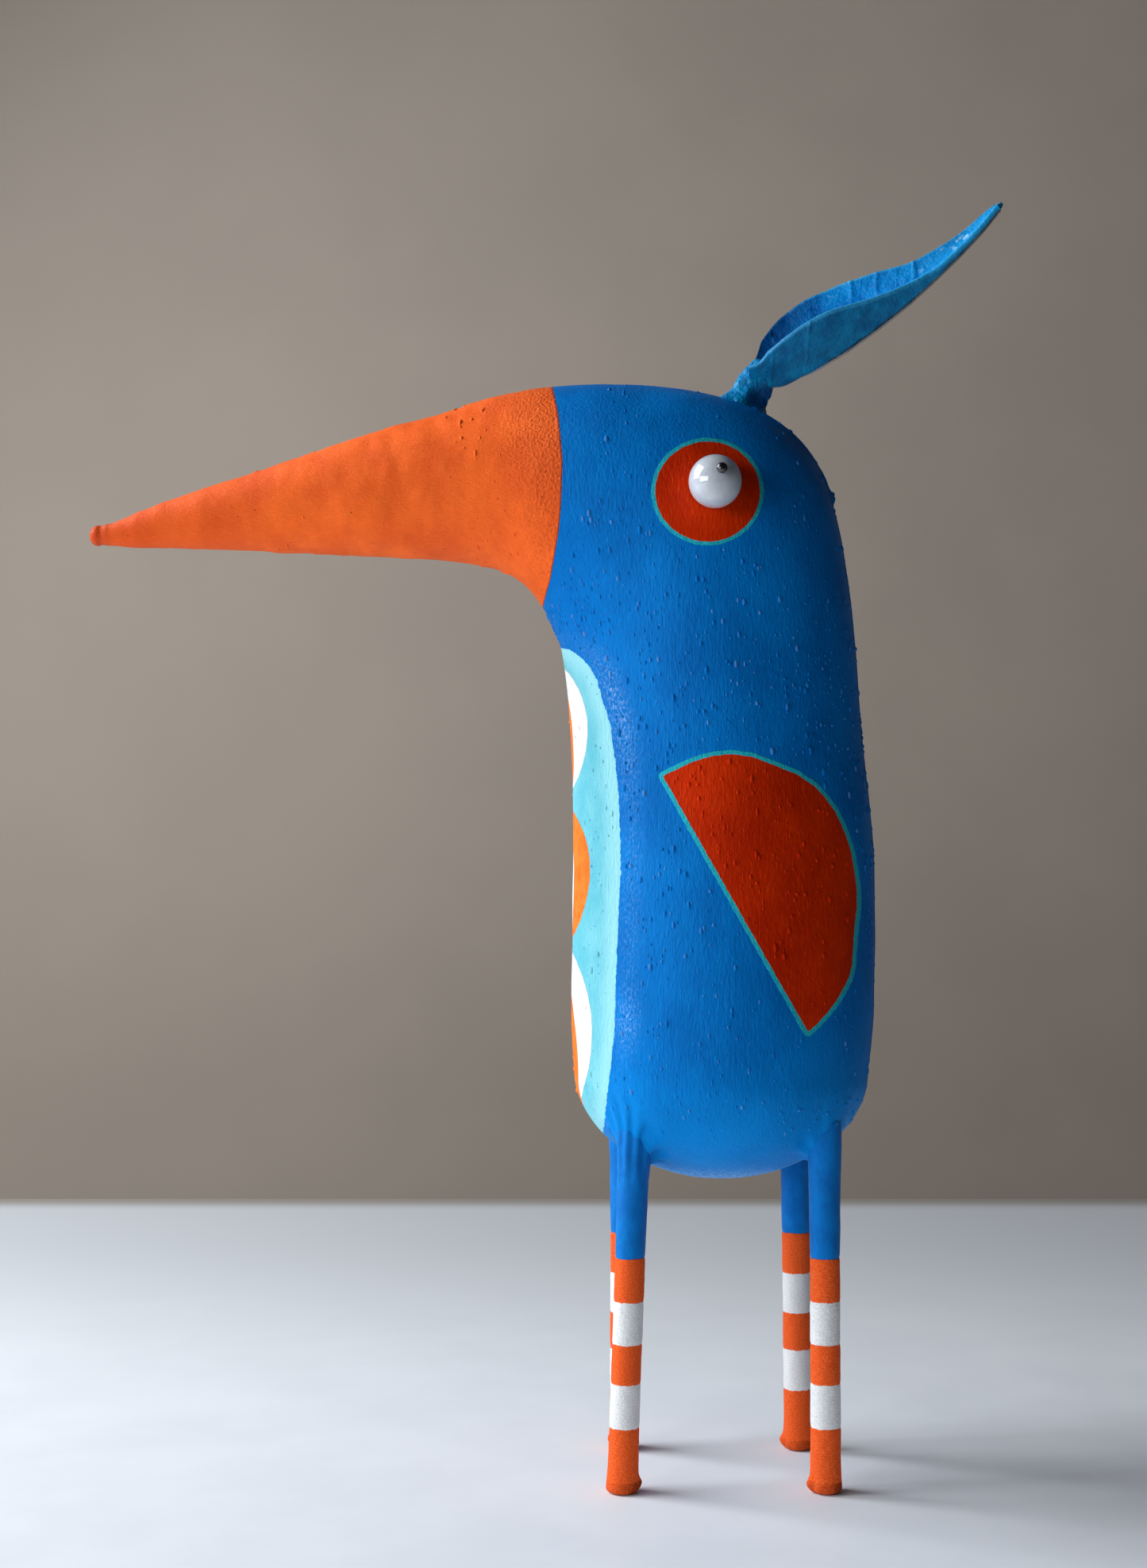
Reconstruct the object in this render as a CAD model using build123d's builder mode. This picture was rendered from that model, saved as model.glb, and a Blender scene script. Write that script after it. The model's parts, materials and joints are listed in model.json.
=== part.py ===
from build123d import *

import os
from math import cos, hypot, radians, sin

# A hollow papier-mache bird on four dowel legs, with a long cone beak, pinned bead eyes and a leaf crest.
# Millimetres. +Z is up, the bird faces -X, and its left side is towards -Y. Z = 0 is the ground.
# The origin is under the middle of the whole figure.

# ---------------------------------------------------------------- skin
SKIN_WALL = 3.0
THIN_SHARE = 0.2  # the wall is never more than this share of a section's half-depth
BELLY_Z = 109.0  # lowest point of the belly
BELLY_DOME = 42.0  # height of the domed belly, up to the first torso section
DOME_ANGLES = (14, 32, 50, 70)  # where the dome's sections are, in degrees round its quarter ellipse

# Each section of the skin is an ellipse across the bird: front point (x, z), back point (x, z), half-width.
# The torso's sections are level, the head's fan out round the throat, and the beak's are upright.
TORSO = [
    ((9.8, 152.0), (120.8, 152.0), 50.8),
    ((8.7, 180.0), (123.0, 180.0), 50.5),
    ((9.3, 215.0), (123.0, 215.0), 48.3),
    ((9.6, 245.0), (121.7, 245.0), 46.0),
    ((8.7, 275.0), (118.4, 275.0), 43.5),
    ((6.5, 300.0), (116.4, 300.0), 42.3),
]
HEAD = [
    ((2.5, 315.5), (108.5, 359.5), 42.5),
    ((-1.3, 322.8), (96.5, 386.5), 42.3),
    ((-6.3, 329.5), (69.0, 403.0), 41.0),
    ((-12.3, 335.0), (37.5, 408.3), 38.5),
    ((-19.3, 338.7), (9.8, 408.6), 34.5),
    ((-27.3, 340.9), (-14.3, 405.3), 30.5),
]
BEAK = [
    ((-42.0, 343.3), (-42.0, 398.0), 26.5),
    ((-70.0, 344.6), (-70.0, 390.0), 22.3),
    ((-97.0, 345.9), (-97.0, 381.0), 17.5),
    ((-125.0, 347.5), (-125.0, 372.0), 12.2),
    ((-149.0, 347.9), (-149.0, 363.5), 7.8),
    ((-168.0, 348.9), (-168.0, 356.7), 3.9),
]

# The beak's skin meets the head's along a shallow arc, seen from above, that leans back at the crown.
BEAK_LINE_X = 0.0
BEAK_LINE_Z = 367.0
BEAK_LINE_RADIUS = 118.0
BEAK_LINE_LEAN = 3.0

SEAM_WIDTH = 9.0
SEAM_THICKNESS = 0.7
SEAM_Z = (150.0, 392.0)
KNOT_AT = (107.6, 0, 367.0)
KNOT_RADIUS = 2.0

# ---------------------------------------------------------------- frame inside the skin
FRAME_GAP = 0.3  # between the board or a former and the skin
BOARD_Z = (147.0, 159.0)
FORMER_Z = {"belly_former": 190.0, "chest_former": 240.0, "neck_former": 288.0}
FORMER_THICKNESS = 3.0
SPINE_X = 58.0
SPINE_RADIUS = 6.0
SPINE_SINK = 10.0  # depth of the spine in the board and in the head block
HEAD_BLOCK_AT = (58.0, 0, 363.0)
HEAD_BLOCK_SIZE = (46.0, 44.0, 32.0)
HEAD_BLOCK_ROUNDING = 6.0
LOOSE_FIT = 0.1  # round a rod in its hole

CORE_NOSE_AT = (-169.5, 0, 352.5)
CORE_END_AT = (46.0, 0, 369.0)
CORE_NOSE_RADIUS = 3.0
CORE_END_RADIUS = 6.0

# ---------------------------------------------------------------- eyes
EYE_AT = (60.1, 48.0, 364.3)  # centre of the bead on the side towards +Y
PIN_RISE = 14.0  # degrees that the pin points up
PIN_BACK = 9.0  # degrees that the pin points back
BEAD_RADIUS = 9.5
BEAD_SEAT_GAP = 0.4
PIN_RADIUS = 0.75
PIN_GAP = 0.05  # between the pin and the bead's bore
PUPIL_RADIUS = 1.95  # the pin's black head
PUPIL_OUT = 11.4  # centre of the pin's head, from the bead's centre
PIN_DEPTH = 36.0  # reach of the pin's point, from the bead's centre

# ---------------------------------------------------------------- crest
# The leaf is cupped: its wire midrib is the keel and a blade rises from each side of it.
# Stations along the midrib, from the leaf's pinched base to its tip: (x, z), left width, right width.
CREST = [
    ((80.0, 409.0), 10.1, 12.4),
    ((91.0, 411.0), 17.1, 22.4),
    ((101.5, 415.5), 19.9, 25.6),
    ((112.5, 422.0), 19.1, 26.3),
    ((124.0, 430.3), 13.5, 23.4),
    ((136.0, 439.8), 7.8, 17.8),
    ((146.0, 449.0), 2.8, 10.3),
    ((156.0, 458.8), 1.6, 6.0),
    ((164.5, 468.0), 1.4, 3.7),
    ((170.8, 476.0), 1.2, 1.2),
]
# Each blade's side of the leaf, its column in CREST, and the degrees that it rises above level.
BLADES = {"left": (-1, 1, 45.0), "right": (1, 2, 72.0)}
BLADE_THICKNESS = 1.2
BLADE_GAP = 0.4  # between the wire and each blade
WIRE_RADIUS = 0.8
WIRE_ROOT = (68.5, 368.0)
WIRE_BEND = 5.0
CREST_FOOT = (73.0, 395.0)
CREST_NECK = (77.4, 405.2)
CREST_FOOT_SIZE = (12.0, 8.0)
CREST_NECK_SIZE = (6.6, 4.4)

# ---------------------------------------------------------------- legs
# Each leg stands at its first point (x, y) on the ground and leans to its second at the board's top.
LEGS = {
    "front_left": ((27.3, -29.5), (33.0, -26.5)),
    "rear_left": ((101.6, -29.5), (101.4, -26.5)),
    "front_right": ((29.5, 29.5), (29.8, 26.5)),
    "rear_right": ((97.8, 29.5), (95.8, 26.5)),
}
DOWEL_RADIUS = 4.0
DOWEL_TOP_Z = 155.0
DOWEL_END_GAP = 0.6  # past each end of a dowel
WRAP_RADIUS = 5.4
WRAP_SOLE = 1.6
FOOT_RADIUS = 6.1
FOOT_RIM = 2.0  # height of the foot's widest part
FOOT_HEIGHT = 9.0
GATHER_Z = (104.0, 118.0, 134.0)  # where the wrap starts to widen into the belly, how far up, and its end
GATHER_RADII = (6.4, 10.0)

SIDES = {"left": -1, "right": 1}


def section_plane(front, back):
    """The plane of a skin section: local X runs from its front to its back, and local Y is across."""
    run = Vector(back[0] - front[0], 0, back[1] - front[1])
    middle = Vector((front[0] + back[0]) / 2, 0, (front[1] + back[1]) / 2)
    return Plane(origin=middle, x_dir=run, z_dir=run.cross(Vector(0, 1, 0)))


def skin_sections(inset):
    """Every section as (plane, half-depth, half-width), drawn in by inset from the outer surface."""
    front, back, half_width = TORSO[0]
    middle_x = (front[0] + back[0]) / 2
    half_depth = (back[0] - front[0]) / 2
    for angle in DOME_ANGLES:
        height = BELLY_Z + inset + (BELLY_DOME - inset) * (1 - cos(radians(angle)))
        share = sin(radians(angle))
        yield Plane((middle_x, 0, height)), (half_depth - inset) * share, (half_width - inset) * share
    for front, back, half_width in TORSO + HEAD + BEAK:
        half_depth = hypot(back[0] - front[0], back[1] - front[1]) / 2
        wall = min(inset, half_depth * THIN_SHARE)
        yield section_plane(front, back), half_depth - wall, half_width - wall


def skin_form(inset):
    """The whole bird as one solid form, drawn in by inset from the outer surface."""
    with BuildPart() as form:
        for plane, half_depth, half_width in skin_sections(inset):
            with BuildSketch(plane):
                Ellipse(half_depth, half_width)
        loft()
    return form.part


def rod_plane(start, end):
    """The plane at start whose normal points at end."""
    return Plane(origin=start, z_dir=Vector(*end) - Vector(*start))


def leg_plane(foot, top):
    """The plane across a leg at the ground, with its normal up the leg."""
    return rod_plane((foot[0], foot[1], 0), (top[0], top[1], BOARD_Z[1]))


def leg_profile_plane(foot, top):
    """The plane along a leg: local X is out from the leg's axis, and local Y is up it."""
    across = leg_plane(foot, top)
    return Plane(origin=across.origin, x_dir=across.x_dir, z_dir=across.x_dir.cross(across.z_dir))


def eye_line(side):
    """The bead's centre and the direction of its pin, for side -1 (left) or 1 (right)."""
    centre = Vector(EYE_AT[0], side * EYE_AT[1], EYE_AT[2])
    level = cos(radians(PIN_RISE))
    back = sin(radians(PIN_BACK)) * level
    across = cos(radians(PIN_BACK)) * level
    return centre, Vector(back, side * across, sin(radians(PIN_RISE)))


def crest_plane(index, side, rise):
    """The plane across the leaf at one station: local X runs out along a blade, local Z along the midrib."""
    here = CREST[index][0]
    before = CREST[max(index - 1, 0)][0]
    after = CREST[min(index + 1, len(CREST) - 1)][0]
    along = Vector(after[0] - before[0], 0, after[1] - before[1]).normalized()
    up = Vector(-along.Z, 0, along.X)
    out = Vector(0, side, 0) * cos(radians(rise)) + up * sin(radians(rise))
    return Plane(origin=(here[0], 0, here[1]), x_dir=out, z_dir=along)


def finish(part, name):
    """Labels a finished piece and writes its file."""
    part.label = name
    export_step(part, f"parts/{name}.step")


os.makedirs("parts", exist_ok=True)
OUTER_FORM = skin_form(0)
INNER_FORM = skin_form(SKIN_WALL)
FRAME_FORM = skin_form(SKIN_WALL + FRAME_GAP)

# ---------------------------------------------------------------- cutters that more than one piece shares
with BuildPart() as behind_beak_line:
    with BuildSketch(Plane((BEAK_LINE_X, 0, BEAK_LINE_Z)).rotated((0, BEAK_LINE_LEAN, 0))):
        with Locations((BEAK_LINE_RADIUS, 0)):
            Circle(BEAK_LINE_RADIUS)
    extrude(amount=BEAK_LINE_Z, both=True)

with BuildPart() as dowel_holes:
    for foot, top in LEGS.values():
        with BuildSketch(leg_plane(foot, top)):
            Circle(DOWEL_RADIUS + LOOSE_FIT)
        extrude(amount=DOWEL_TOP_Z + DOWEL_END_GAP)

with BuildPart() as pin_holes:
    for side in SIDES.values():
        centre, out = eye_line(side)
        with BuildSketch(Plane(origin=centre, z_dir=-out)):
            Circle(PIN_RADIUS)
        extrude(amount=PIN_DEPTH)

with BuildPart() as bead_seats:
    for side in SIDES.values():
        with Locations(eye_line(side)[0]):
            Sphere(BEAD_RADIUS + BEAD_SEAT_GAP)

# The wire's first run is straight, from the head block up to the leaf.
WIRE_POINTS = [(x, 0, z) for x, z in [WIRE_ROOT] + [station[0] for station in CREST]]
with BuildPart() as wire_hole:
    with BuildSketch(rod_plane(*WIRE_POINTS[:2])):
        Circle(WIRE_RADIUS + LOOSE_FIT)
    extrude(amount=(Vector(*WIRE_POINTS[1]) - Vector(*WIRE_POINTS[0])).length)

CORE_RUN = Vector(*CORE_END_AT) - Vector(*CORE_NOSE_AT)
with BuildPart() as core_hole:
    with BuildSketch(rod_plane(CORE_NOSE_AT, CORE_END_AT)):
        Circle(CORE_NOSE_RADIUS + LOOSE_FIT)
    with BuildSketch(rod_plane(CORE_NOSE_AT, CORE_END_AT).offset(CORE_RUN.length)):
        Circle(CORE_END_RADIUS + LOOSE_FIT)
    loft()

# ---------------------------------------------------------------- skin of the body, in two halves
with BuildPart() as body_skin:
    add(OUTER_FORM)
    add(INNER_FORM, mode=Mode.SUBTRACT)
    add(behind_beak_line.part, mode=Mode.INTERSECT)
    for cutter in (dowel_holes, pin_holes, bead_seats, wire_hole):
        add(cutter.part, mode=Mode.SUBTRACT)

for name, half in (("left", Keep.TOP), ("right", Keep.BOTTOM)):
    with BuildPart() as body_skin_half:
        add(body_skin.part)
        split(bisect_by=Plane.XZ, keep=half)
    finish(body_skin_half.part, f"body_skin_{name}")

# The paper strip glued over the seam down the back, with a knot of paste near its top.
with BuildPart() as back_seam_strip:
    add(skin_form(-SEAM_THICKNESS))
    with Locations((TORSO[0][1][0], 0, SEAM_Z[0])):
        Box(
            TORSO[0][1][0],
            SEAM_WIDTH,
            SEAM_Z[1] - SEAM_Z[0],
            align=(Align.CENTER, Align.CENTER, Align.MIN),
            mode=Mode.INTERSECT,
        )
    with Locations(KNOT_AT):
        Sphere(KNOT_RADIUS)
    add(OUTER_FORM, mode=Mode.SUBTRACT)
finish(back_seam_strip.part, "back_seam_strip")

# ---------------------------------------------------------------- beak
with BuildPart() as beak_skin:
    add(OUTER_FORM)
    add(INNER_FORM, mode=Mode.SUBTRACT)
    add(behind_beak_line.part, mode=Mode.SUBTRACT)
    add(core_hole.part, mode=Mode.SUBTRACT)
finish(beak_skin.part, "beak_skin")

# A tapered rod whose round nose shows at the beak's tip.
with BuildPart() as beak_core:
    with BuildSketch(Plane(origin=CORE_NOSE_AT, x_dir=CORE_RUN, z_dir=CORE_RUN.cross(Vector(0, 1, 0)))):
        with BuildLine():
            nose = CenterArc((0, 0), CORE_NOSE_RADIUS, 90, 90)
            Polyline(nose @ 0, (CORE_RUN.length, CORE_END_RADIUS), (CORE_RUN.length, 0), nose @ 1)
        make_face()
    revolve(axis=Axis(CORE_NOSE_AT, CORE_RUN))
finish(beak_core.part, "beak_core")

# ---------------------------------------------------------------- frame inside the skin
with BuildPart() as head_block:
    with Locations(HEAD_BLOCK_AT):
        Box(*HEAD_BLOCK_SIZE)
    fillet(head_block.edges(), radius=HEAD_BLOCK_ROUNDING)
    for cutter in (pin_holes, wire_hole, core_hole):
        add(cutter.part, mode=Mode.SUBTRACT)
    with Locations((SPINE_X, 0, HEAD_BLOCK_AT[2] - HEAD_BLOCK_SIZE[2] / 2)):
        Cylinder(SPINE_RADIUS + LOOSE_FIT, 2 * SPINE_SINK, mode=Mode.SUBTRACT)
finish(head_block.part, "head_block")

SPINE_Z = (BOARD_Z[1] - SPINE_SINK, HEAD_BLOCK_AT[2] - HEAD_BLOCK_SIZE[2] / 2 + SPINE_SINK)
with BuildPart() as spine_dowel:
    with BuildSketch(Plane.XY.offset(SPINE_Z[0])):
        with Locations((SPINE_X, 0)):
            Circle(SPINE_RADIUS)
    extrude(amount=SPINE_Z[1] - SPINE_Z[0])
finish(spine_dowel.part, "spine_dowel")

with BuildPart() as base_board:
    add(FRAME_FORM)
    split(bisect_by=Plane.XY.offset(BOARD_Z[0]), keep=Keep.TOP)
    split(bisect_by=Plane.XY.offset(BOARD_Z[1]), keep=Keep.BOTTOM)
    add(dowel_holes.part, mode=Mode.SUBTRACT)
    with Locations((SPINE_X, 0, BOARD_Z[1])):
        Cylinder(SPINE_RADIUS + LOOSE_FIT, 2 * SPINE_SINK, mode=Mode.SUBTRACT)
finish(base_board.part, "base_board")

for name, height in FORMER_Z.items():
    with BuildPart() as former:
        add(FRAME_FORM)
        split(bisect_by=Plane.XY.offset(height), keep=Keep.TOP)
        split(bisect_by=Plane.XY.offset(height + FORMER_THICKNESS), keep=Keep.BOTTOM)
        with Locations((SPINE_X, 0, height)):
            Cylinder(SPINE_RADIUS + LOOSE_FIT, 4 * FORMER_THICKNESS, mode=Mode.SUBTRACT)
    finish(former.part, name)

# ---------------------------------------------------------------- eyes: a bead on a round-headed pin
for name, side in SIDES.items():
    centre, out = eye_line(side)
    with BuildPart() as eye_bead:
        with Locations(centre):
            Sphere(BEAD_RADIUS)
        with BuildSketch(Plane(origin=centre, z_dir=out)):
            Circle(PIN_RADIUS + PIN_GAP)
        extrude(amount=2 * BEAD_RADIUS, both=True, mode=Mode.SUBTRACT)
    finish(eye_bead.part, f"eye_bead_{name}")

    pin_plane = Plane(origin=centre - out * PIN_DEPTH, z_dir=out)
    with BuildPart() as eye_pin:
        with BuildSketch(pin_plane):
            Circle(PIN_RADIUS)
        extrude(amount=PIN_DEPTH + PUPIL_OUT)
    finish(eye_pin.part, f"eye_pin_{name}")

    with BuildPart() as eye_pupil:
        with Locations(centre + out * PUPIL_OUT):
            Sphere(PUPIL_RADIUS)
        with BuildSketch(pin_plane):
            Circle(PIN_RADIUS)
        extrude(amount=PIN_DEPTH + PUPIL_OUT, mode=Mode.SUBTRACT)
    finish(eye_pupil.part, f"eye_pupil_{name}")

# ---------------------------------------------------------------- crest: a leaf of two blades on a wire midrib
for name, (side, column, rise) in BLADES.items():
    with BuildPart() as crest_blade:
        for index, station in enumerate(CREST):
            with BuildSketch(crest_plane(index, side, rise)):
                with Locations((WIRE_RADIUS + BLADE_GAP, 0)):
                    Rectangle(station[column], BLADE_THICKNESS, align=(Align.MIN, Align.CENTER))
        loft(ruled=True)
    finish(crest_blade.part, f"crest_blade_{name}")

with BuildPart() as crest_midrib:
    with BuildLine() as midrib_line:
        FilletPolyline(*WIRE_POINTS, radius=WIRE_BEND)
    with BuildSketch(rod_plane(*WIRE_POINTS[:2])):
        Circle(WIRE_RADIUS)
    sweep()
finish(crest_midrib.part, "crest_midrib")

# The leaf's pinched stem, flared and glued down on the crown.
STEM_RUN = Vector(CREST_NECK[0] - CREST_FOOT[0], 0, CREST_NECK[1] - CREST_FOOT[1])
STEM_PLANE = Plane(
    origin=(CREST_FOOT[0], 0, CREST_FOOT[1]), x_dir=Vector(0, 1, 0).cross(STEM_RUN), z_dir=STEM_RUN
)
with BuildPart() as crest_foot:
    with BuildSketch(STEM_PLANE):
        Ellipse(*CREST_FOOT_SIZE)
    with BuildSketch(STEM_PLANE.offset(STEM_RUN.length)):
        Ellipse(*CREST_NECK_SIZE)
    loft()
    add(OUTER_FORM, mode=Mode.SUBTRACT)
    add(wire_hole.part, mode=Mode.SUBTRACT)
finish(crest_foot.part, "crest_foot")

# ---------------------------------------------------------------- legs: a dowel in a paper wrap
GROUND = Plane.XY
for name, (foot, top) in LEGS.items():
    with BuildPart() as leg_dowel:
        with BuildSketch(leg_plane(foot, top)):
            Circle(DOWEL_RADIUS)
        extrude(amount=BOARD_Z[1])
        split(bisect_by=GROUND.offset(WRAP_SOLE + DOWEL_END_GAP), keep=Keep.TOP)
        split(bisect_by=GROUND.offset(DOWEL_TOP_Z), keep=Keep.BOTTOM)
    finish(leg_dowel.part, f"leg_dowel_{name}")

    bore = DOWEL_RADIUS + LOOSE_FIT
    with BuildPart() as leg_wrap:
        with BuildSketch(leg_profile_plane(foot, top)):
            with BuildLine():
                Polyline(
                    (0, -FOOT_RIM),
                    (FOOT_RADIUS, -FOOT_RIM),
                    (FOOT_RADIUS, FOOT_RIM),
                    (WRAP_RADIUS, FOOT_HEIGHT),
                    (WRAP_RADIUS, GATHER_Z[0]),
                    (GATHER_RADII[0], GATHER_Z[1]),
                    (GATHER_RADII[1], GATHER_Z[2]),
                    (bore, GATHER_Z[2]),
                    (bore, WRAP_SOLE),
                    (0, WRAP_SOLE),
                    (0, -FOOT_RIM),
                )
            make_face()
        revolve(axis=Axis(leg_plane(foot, top).origin, leg_plane(foot, top).z_dir))
        split(bisect_by=GROUND, keep=Keep.TOP)
        add(OUTER_FORM, mode=Mode.SUBTRACT)
    finish(leg_wrap.part, f"leg_wrap_{name}")
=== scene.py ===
import json
import math

import bpy
import numpy as np
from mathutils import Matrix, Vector
from mathutils.bvhtree import BVHTree

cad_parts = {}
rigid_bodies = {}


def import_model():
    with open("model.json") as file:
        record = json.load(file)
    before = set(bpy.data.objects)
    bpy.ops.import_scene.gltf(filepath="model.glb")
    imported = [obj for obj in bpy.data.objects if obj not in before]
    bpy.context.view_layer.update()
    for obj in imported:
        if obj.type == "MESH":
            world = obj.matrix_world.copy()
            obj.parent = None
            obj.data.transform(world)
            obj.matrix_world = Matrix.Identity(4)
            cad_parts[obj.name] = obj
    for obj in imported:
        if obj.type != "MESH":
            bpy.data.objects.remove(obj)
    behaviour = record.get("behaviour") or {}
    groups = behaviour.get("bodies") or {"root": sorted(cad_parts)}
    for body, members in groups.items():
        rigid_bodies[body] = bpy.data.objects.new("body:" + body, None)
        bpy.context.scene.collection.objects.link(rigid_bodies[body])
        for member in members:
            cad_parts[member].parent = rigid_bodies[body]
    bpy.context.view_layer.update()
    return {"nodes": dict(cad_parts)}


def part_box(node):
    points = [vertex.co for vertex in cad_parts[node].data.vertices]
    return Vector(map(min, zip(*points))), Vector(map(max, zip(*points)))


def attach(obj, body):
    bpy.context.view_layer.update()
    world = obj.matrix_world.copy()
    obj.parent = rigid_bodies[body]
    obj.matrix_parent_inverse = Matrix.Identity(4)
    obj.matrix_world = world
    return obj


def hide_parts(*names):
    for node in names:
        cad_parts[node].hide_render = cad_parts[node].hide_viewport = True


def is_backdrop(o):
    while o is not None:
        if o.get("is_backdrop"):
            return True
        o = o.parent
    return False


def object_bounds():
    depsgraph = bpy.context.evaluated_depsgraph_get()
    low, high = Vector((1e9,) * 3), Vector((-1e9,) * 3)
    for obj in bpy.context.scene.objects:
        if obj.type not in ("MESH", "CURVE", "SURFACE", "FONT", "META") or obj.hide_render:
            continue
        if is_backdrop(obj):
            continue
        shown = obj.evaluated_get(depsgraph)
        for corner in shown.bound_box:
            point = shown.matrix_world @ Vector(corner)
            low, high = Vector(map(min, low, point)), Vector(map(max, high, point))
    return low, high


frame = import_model()
NODES = frame["nodes"]
MM = 1000.0

# ---- number helpers (all lengths in mm)


def box_mm(node):
    low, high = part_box(node)
    return np.array(low) * MM, np.array(high) * MM


def points_mm(node):
    me = NODES[node].data
    co = np.empty(len(me.vertices) * 3)
    me.vertices.foreach_get("co", co)
    return co.reshape(-1, 3) * MM


def lumps(points, scale, seed):
    """A smooth random field from -1 to 1, with lumps about scale mm across."""
    q = np.asarray(points, float) / np.asarray(scale, float) + seed * 17.31
    cell = np.floor(q).astype(np.int64)
    f = q - cell
    f = f * f * (3 - 2 * f)
    total = np.zeros(q.shape[:-1])
    for corner in range(8):
        step = np.array([(corner >> k) & 1 for k in range(3)])
        c = cell + step
        h = (c[..., 0] * 73856093) ^ (c[..., 1] * 19349663) ^ (c[..., 2] * 83492791) ^ (seed * 2654435)
        h = (h ^ (h >> 13)) * 1274126177 & 0x7FFFFFFF
        value = ((h ^ (h >> 15)) & 0xFFFF) / 32767.5 - 1
        total += value * np.prod(np.where(step, f, 1 - f), axis=-1)
    return total


def curve(table, t):
    """Catmull-Rom through the rows of table, at positions t counted in rows."""
    table = np.asarray(table, float)
    last = len(table) - 1
    t = np.clip(np.asarray(t, float), 0, last)
    i = np.minimum(t.astype(int), last - 1)
    u = (t - i)[..., None]
    p0, p1 = table[np.maximum(i - 1, 0)], table[i]
    p2, p3 = table[i + 1], table[np.minimum(i + 2, last)]
    return p1 + 0.5 * u * (p2 - p0 + u * (2 * p0 - 5 * p1 + 4 * p2 - p3 + u * (3 * (p1 - p2) + p3 - p0)))


def inside(x, z, outline):
    """Distance in from a closed outline, negative outside it."""
    pts = np.asarray(outline, float)
    best = np.full(x.shape, 1e9)
    within = np.zeros(x.shape, bool)
    for a, b in zip(pts, np.roll(pts, -1, 0)):
        d = b - a
        t = unit(((x - a[0]) * d[0] + (z - a[1]) * d[1]) / max(d @ d, 1e-9))
        best = np.minimum(best, np.hypot(x - a[0] - t * d[0], z - a[1] - t * d[1]))
        if a[1] != b[1]:
            within ^= ((a[1] > z) != (b[1] > z)) & (x < a[0] + (z - a[1]) * d[0] / d[1])
    return np.where(within, best, -best)


def soften(path, rounds=6):
    path = path.copy()
    for _ in range(rounds):
        path[1:-1] = (path[:-2] + 2 * path[1:-1] + path[2:]) / 4
    return path


def bell(x, width):
    return np.exp(-((x / width) ** 2))


def unit(x):
    return np.clip(x, 0, 1)


# ---- the skin's form, read from the CAD skins
SKIN_NODES = ("body_skin_left", "body_skin_right", "beak_skin")
skin_points = [points_mm(n) for n in SKIN_NODES]
starts = np.cumsum([0] + [len(p) for p in skin_points])
SKIN = BVHTree.FromPolygons(
    [v for p in skin_points for v in p],
    [[i + start for i in f.vertices] for n, start in zip(SKIN_NODES, starts) for f in NODES[n].data.polygons],
)
THROAT = np.array((-35.25, 300.0))  # the fan of head sections turns about this point
DOME_TOP = 151.0
BELLY_LOW = box_mm("body_skin_left")[0][2]
REACH = 400.0  # how far a ray looks for the skin
OFF_SEAM = 0.4  # so that no ray runs along the seam between the skins
CHORD = 0.15  # a section's ends are read this share of its half-width off the middle


def cast(x, y, z, dx, dy, dz):
    hit = SKIN.ray_cast(Vector((x, y, z)), Vector((dx, dy, dz)), REACH)[0]
    return None if hit is None else np.array(hit)


def section(at, along):
    """Front point, back point and half-width of the skin on one line across the bird."""
    far = at + along * REACH * 0.8

    def ends(y):
        a = cast(at[0], y, at[1], along[0], 0, along[1])
        b = cast(far[0], y, far[1], -along[0], 0, -along[1])
        return a[[0, 2]], b[[0, 2]]

    a, b = ends(OFF_SEAM)
    middle = (a + b) / 2
    half = abs(cast(middle[0], -REACH / 2, middle[1], 0, 1, 0)[1])
    a, b = ends(CHORD * half)
    middle, run = (a + b) / 2, (b - a) / 2 / math.sqrt(1 - CHORD ** 2)
    return np.concatenate([middle - run, middle + run, [half]])


level = [section(np.array((THROAT[0], z)), np.array((1.0, 0.0))) for z in np.arange(DOME_TOP + 1, 300, 5.0)]
fan = [
    section(THROAT, np.array((math.cos(a), math.sin(a)))) for a in np.radians(np.arange(1.0, 90, 3.0))
]
TIP_X = box_mm("beak_skin")[0][0] + 0.8
cone = [section(np.array((x, THROAT[1])), np.array((0.0, 1.0))) for x in np.arange(-39.0, TIP_X, -5.0)]
first = level[0]
mid_x, run_x = (first[0] + first[2]) / 2, (first[2] - first[0]) / 2
dome = []
for a in np.radians(np.arange(90.0, 3, -6.0)):
    z = DOME_TOP - (DOME_TOP - BELLY_LOW) * math.sin(a)
    k = max(math.cos(a), 1e-4)
    dome.append([mid_x - run_x * k, z, mid_x + run_x * k, z, first[4] * k])
end = cone[-1]
tip_z, tip_half = (end[1] + end[3]) / 2, (end[3] - end[1]) / 2
nub = []
NUB_END = box_mm("beak_core")[0][0] - 0.5
for x, k, drop in (
    (-166.6, 0.93, 0.1), (-168.4, 0.82, 0.3), (-170.2, 0.84, 0.5), (-171.6, 0.7, 0.6), (-172.5, 0.42, 0.7),
    (NUB_END, 1e-4, 0.7),
):
    nub.append([x, tip_z - drop - tip_half * k, x, tip_z - drop + tip_half * k, end[4] * k])
cone = [row for row in cone if row[0] > -165]
STATIONS = np.array(dome + level + fan + cone + nub)
keep = slice(len(dome), len(dome + level + fan + cone) - 1)
for _ in range(2):
    STATIONS[keep] = soften(STATIONS, 1)[keep]
SPAN = len(STATIONS) - 1


def skin_at(t, turn):
    """Point on the plain skin: t in stations along the bird, turn from its front over its left side."""
    row = curve(STATIONS, t)
    c, s = np.cos(turn), np.sin(turn)
    middle_x, middle_z = (row[..., 0] + row[..., 2]) / 2, (row[..., 1] + row[..., 3]) / 2
    run_x, run_z = (row[..., 2] - row[..., 0]) / 2, (row[..., 3] - row[..., 1]) / 2
    return np.stack([middle_x - run_x * c, -row[..., 4] * s, middle_z - run_z * c], -1)


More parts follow.
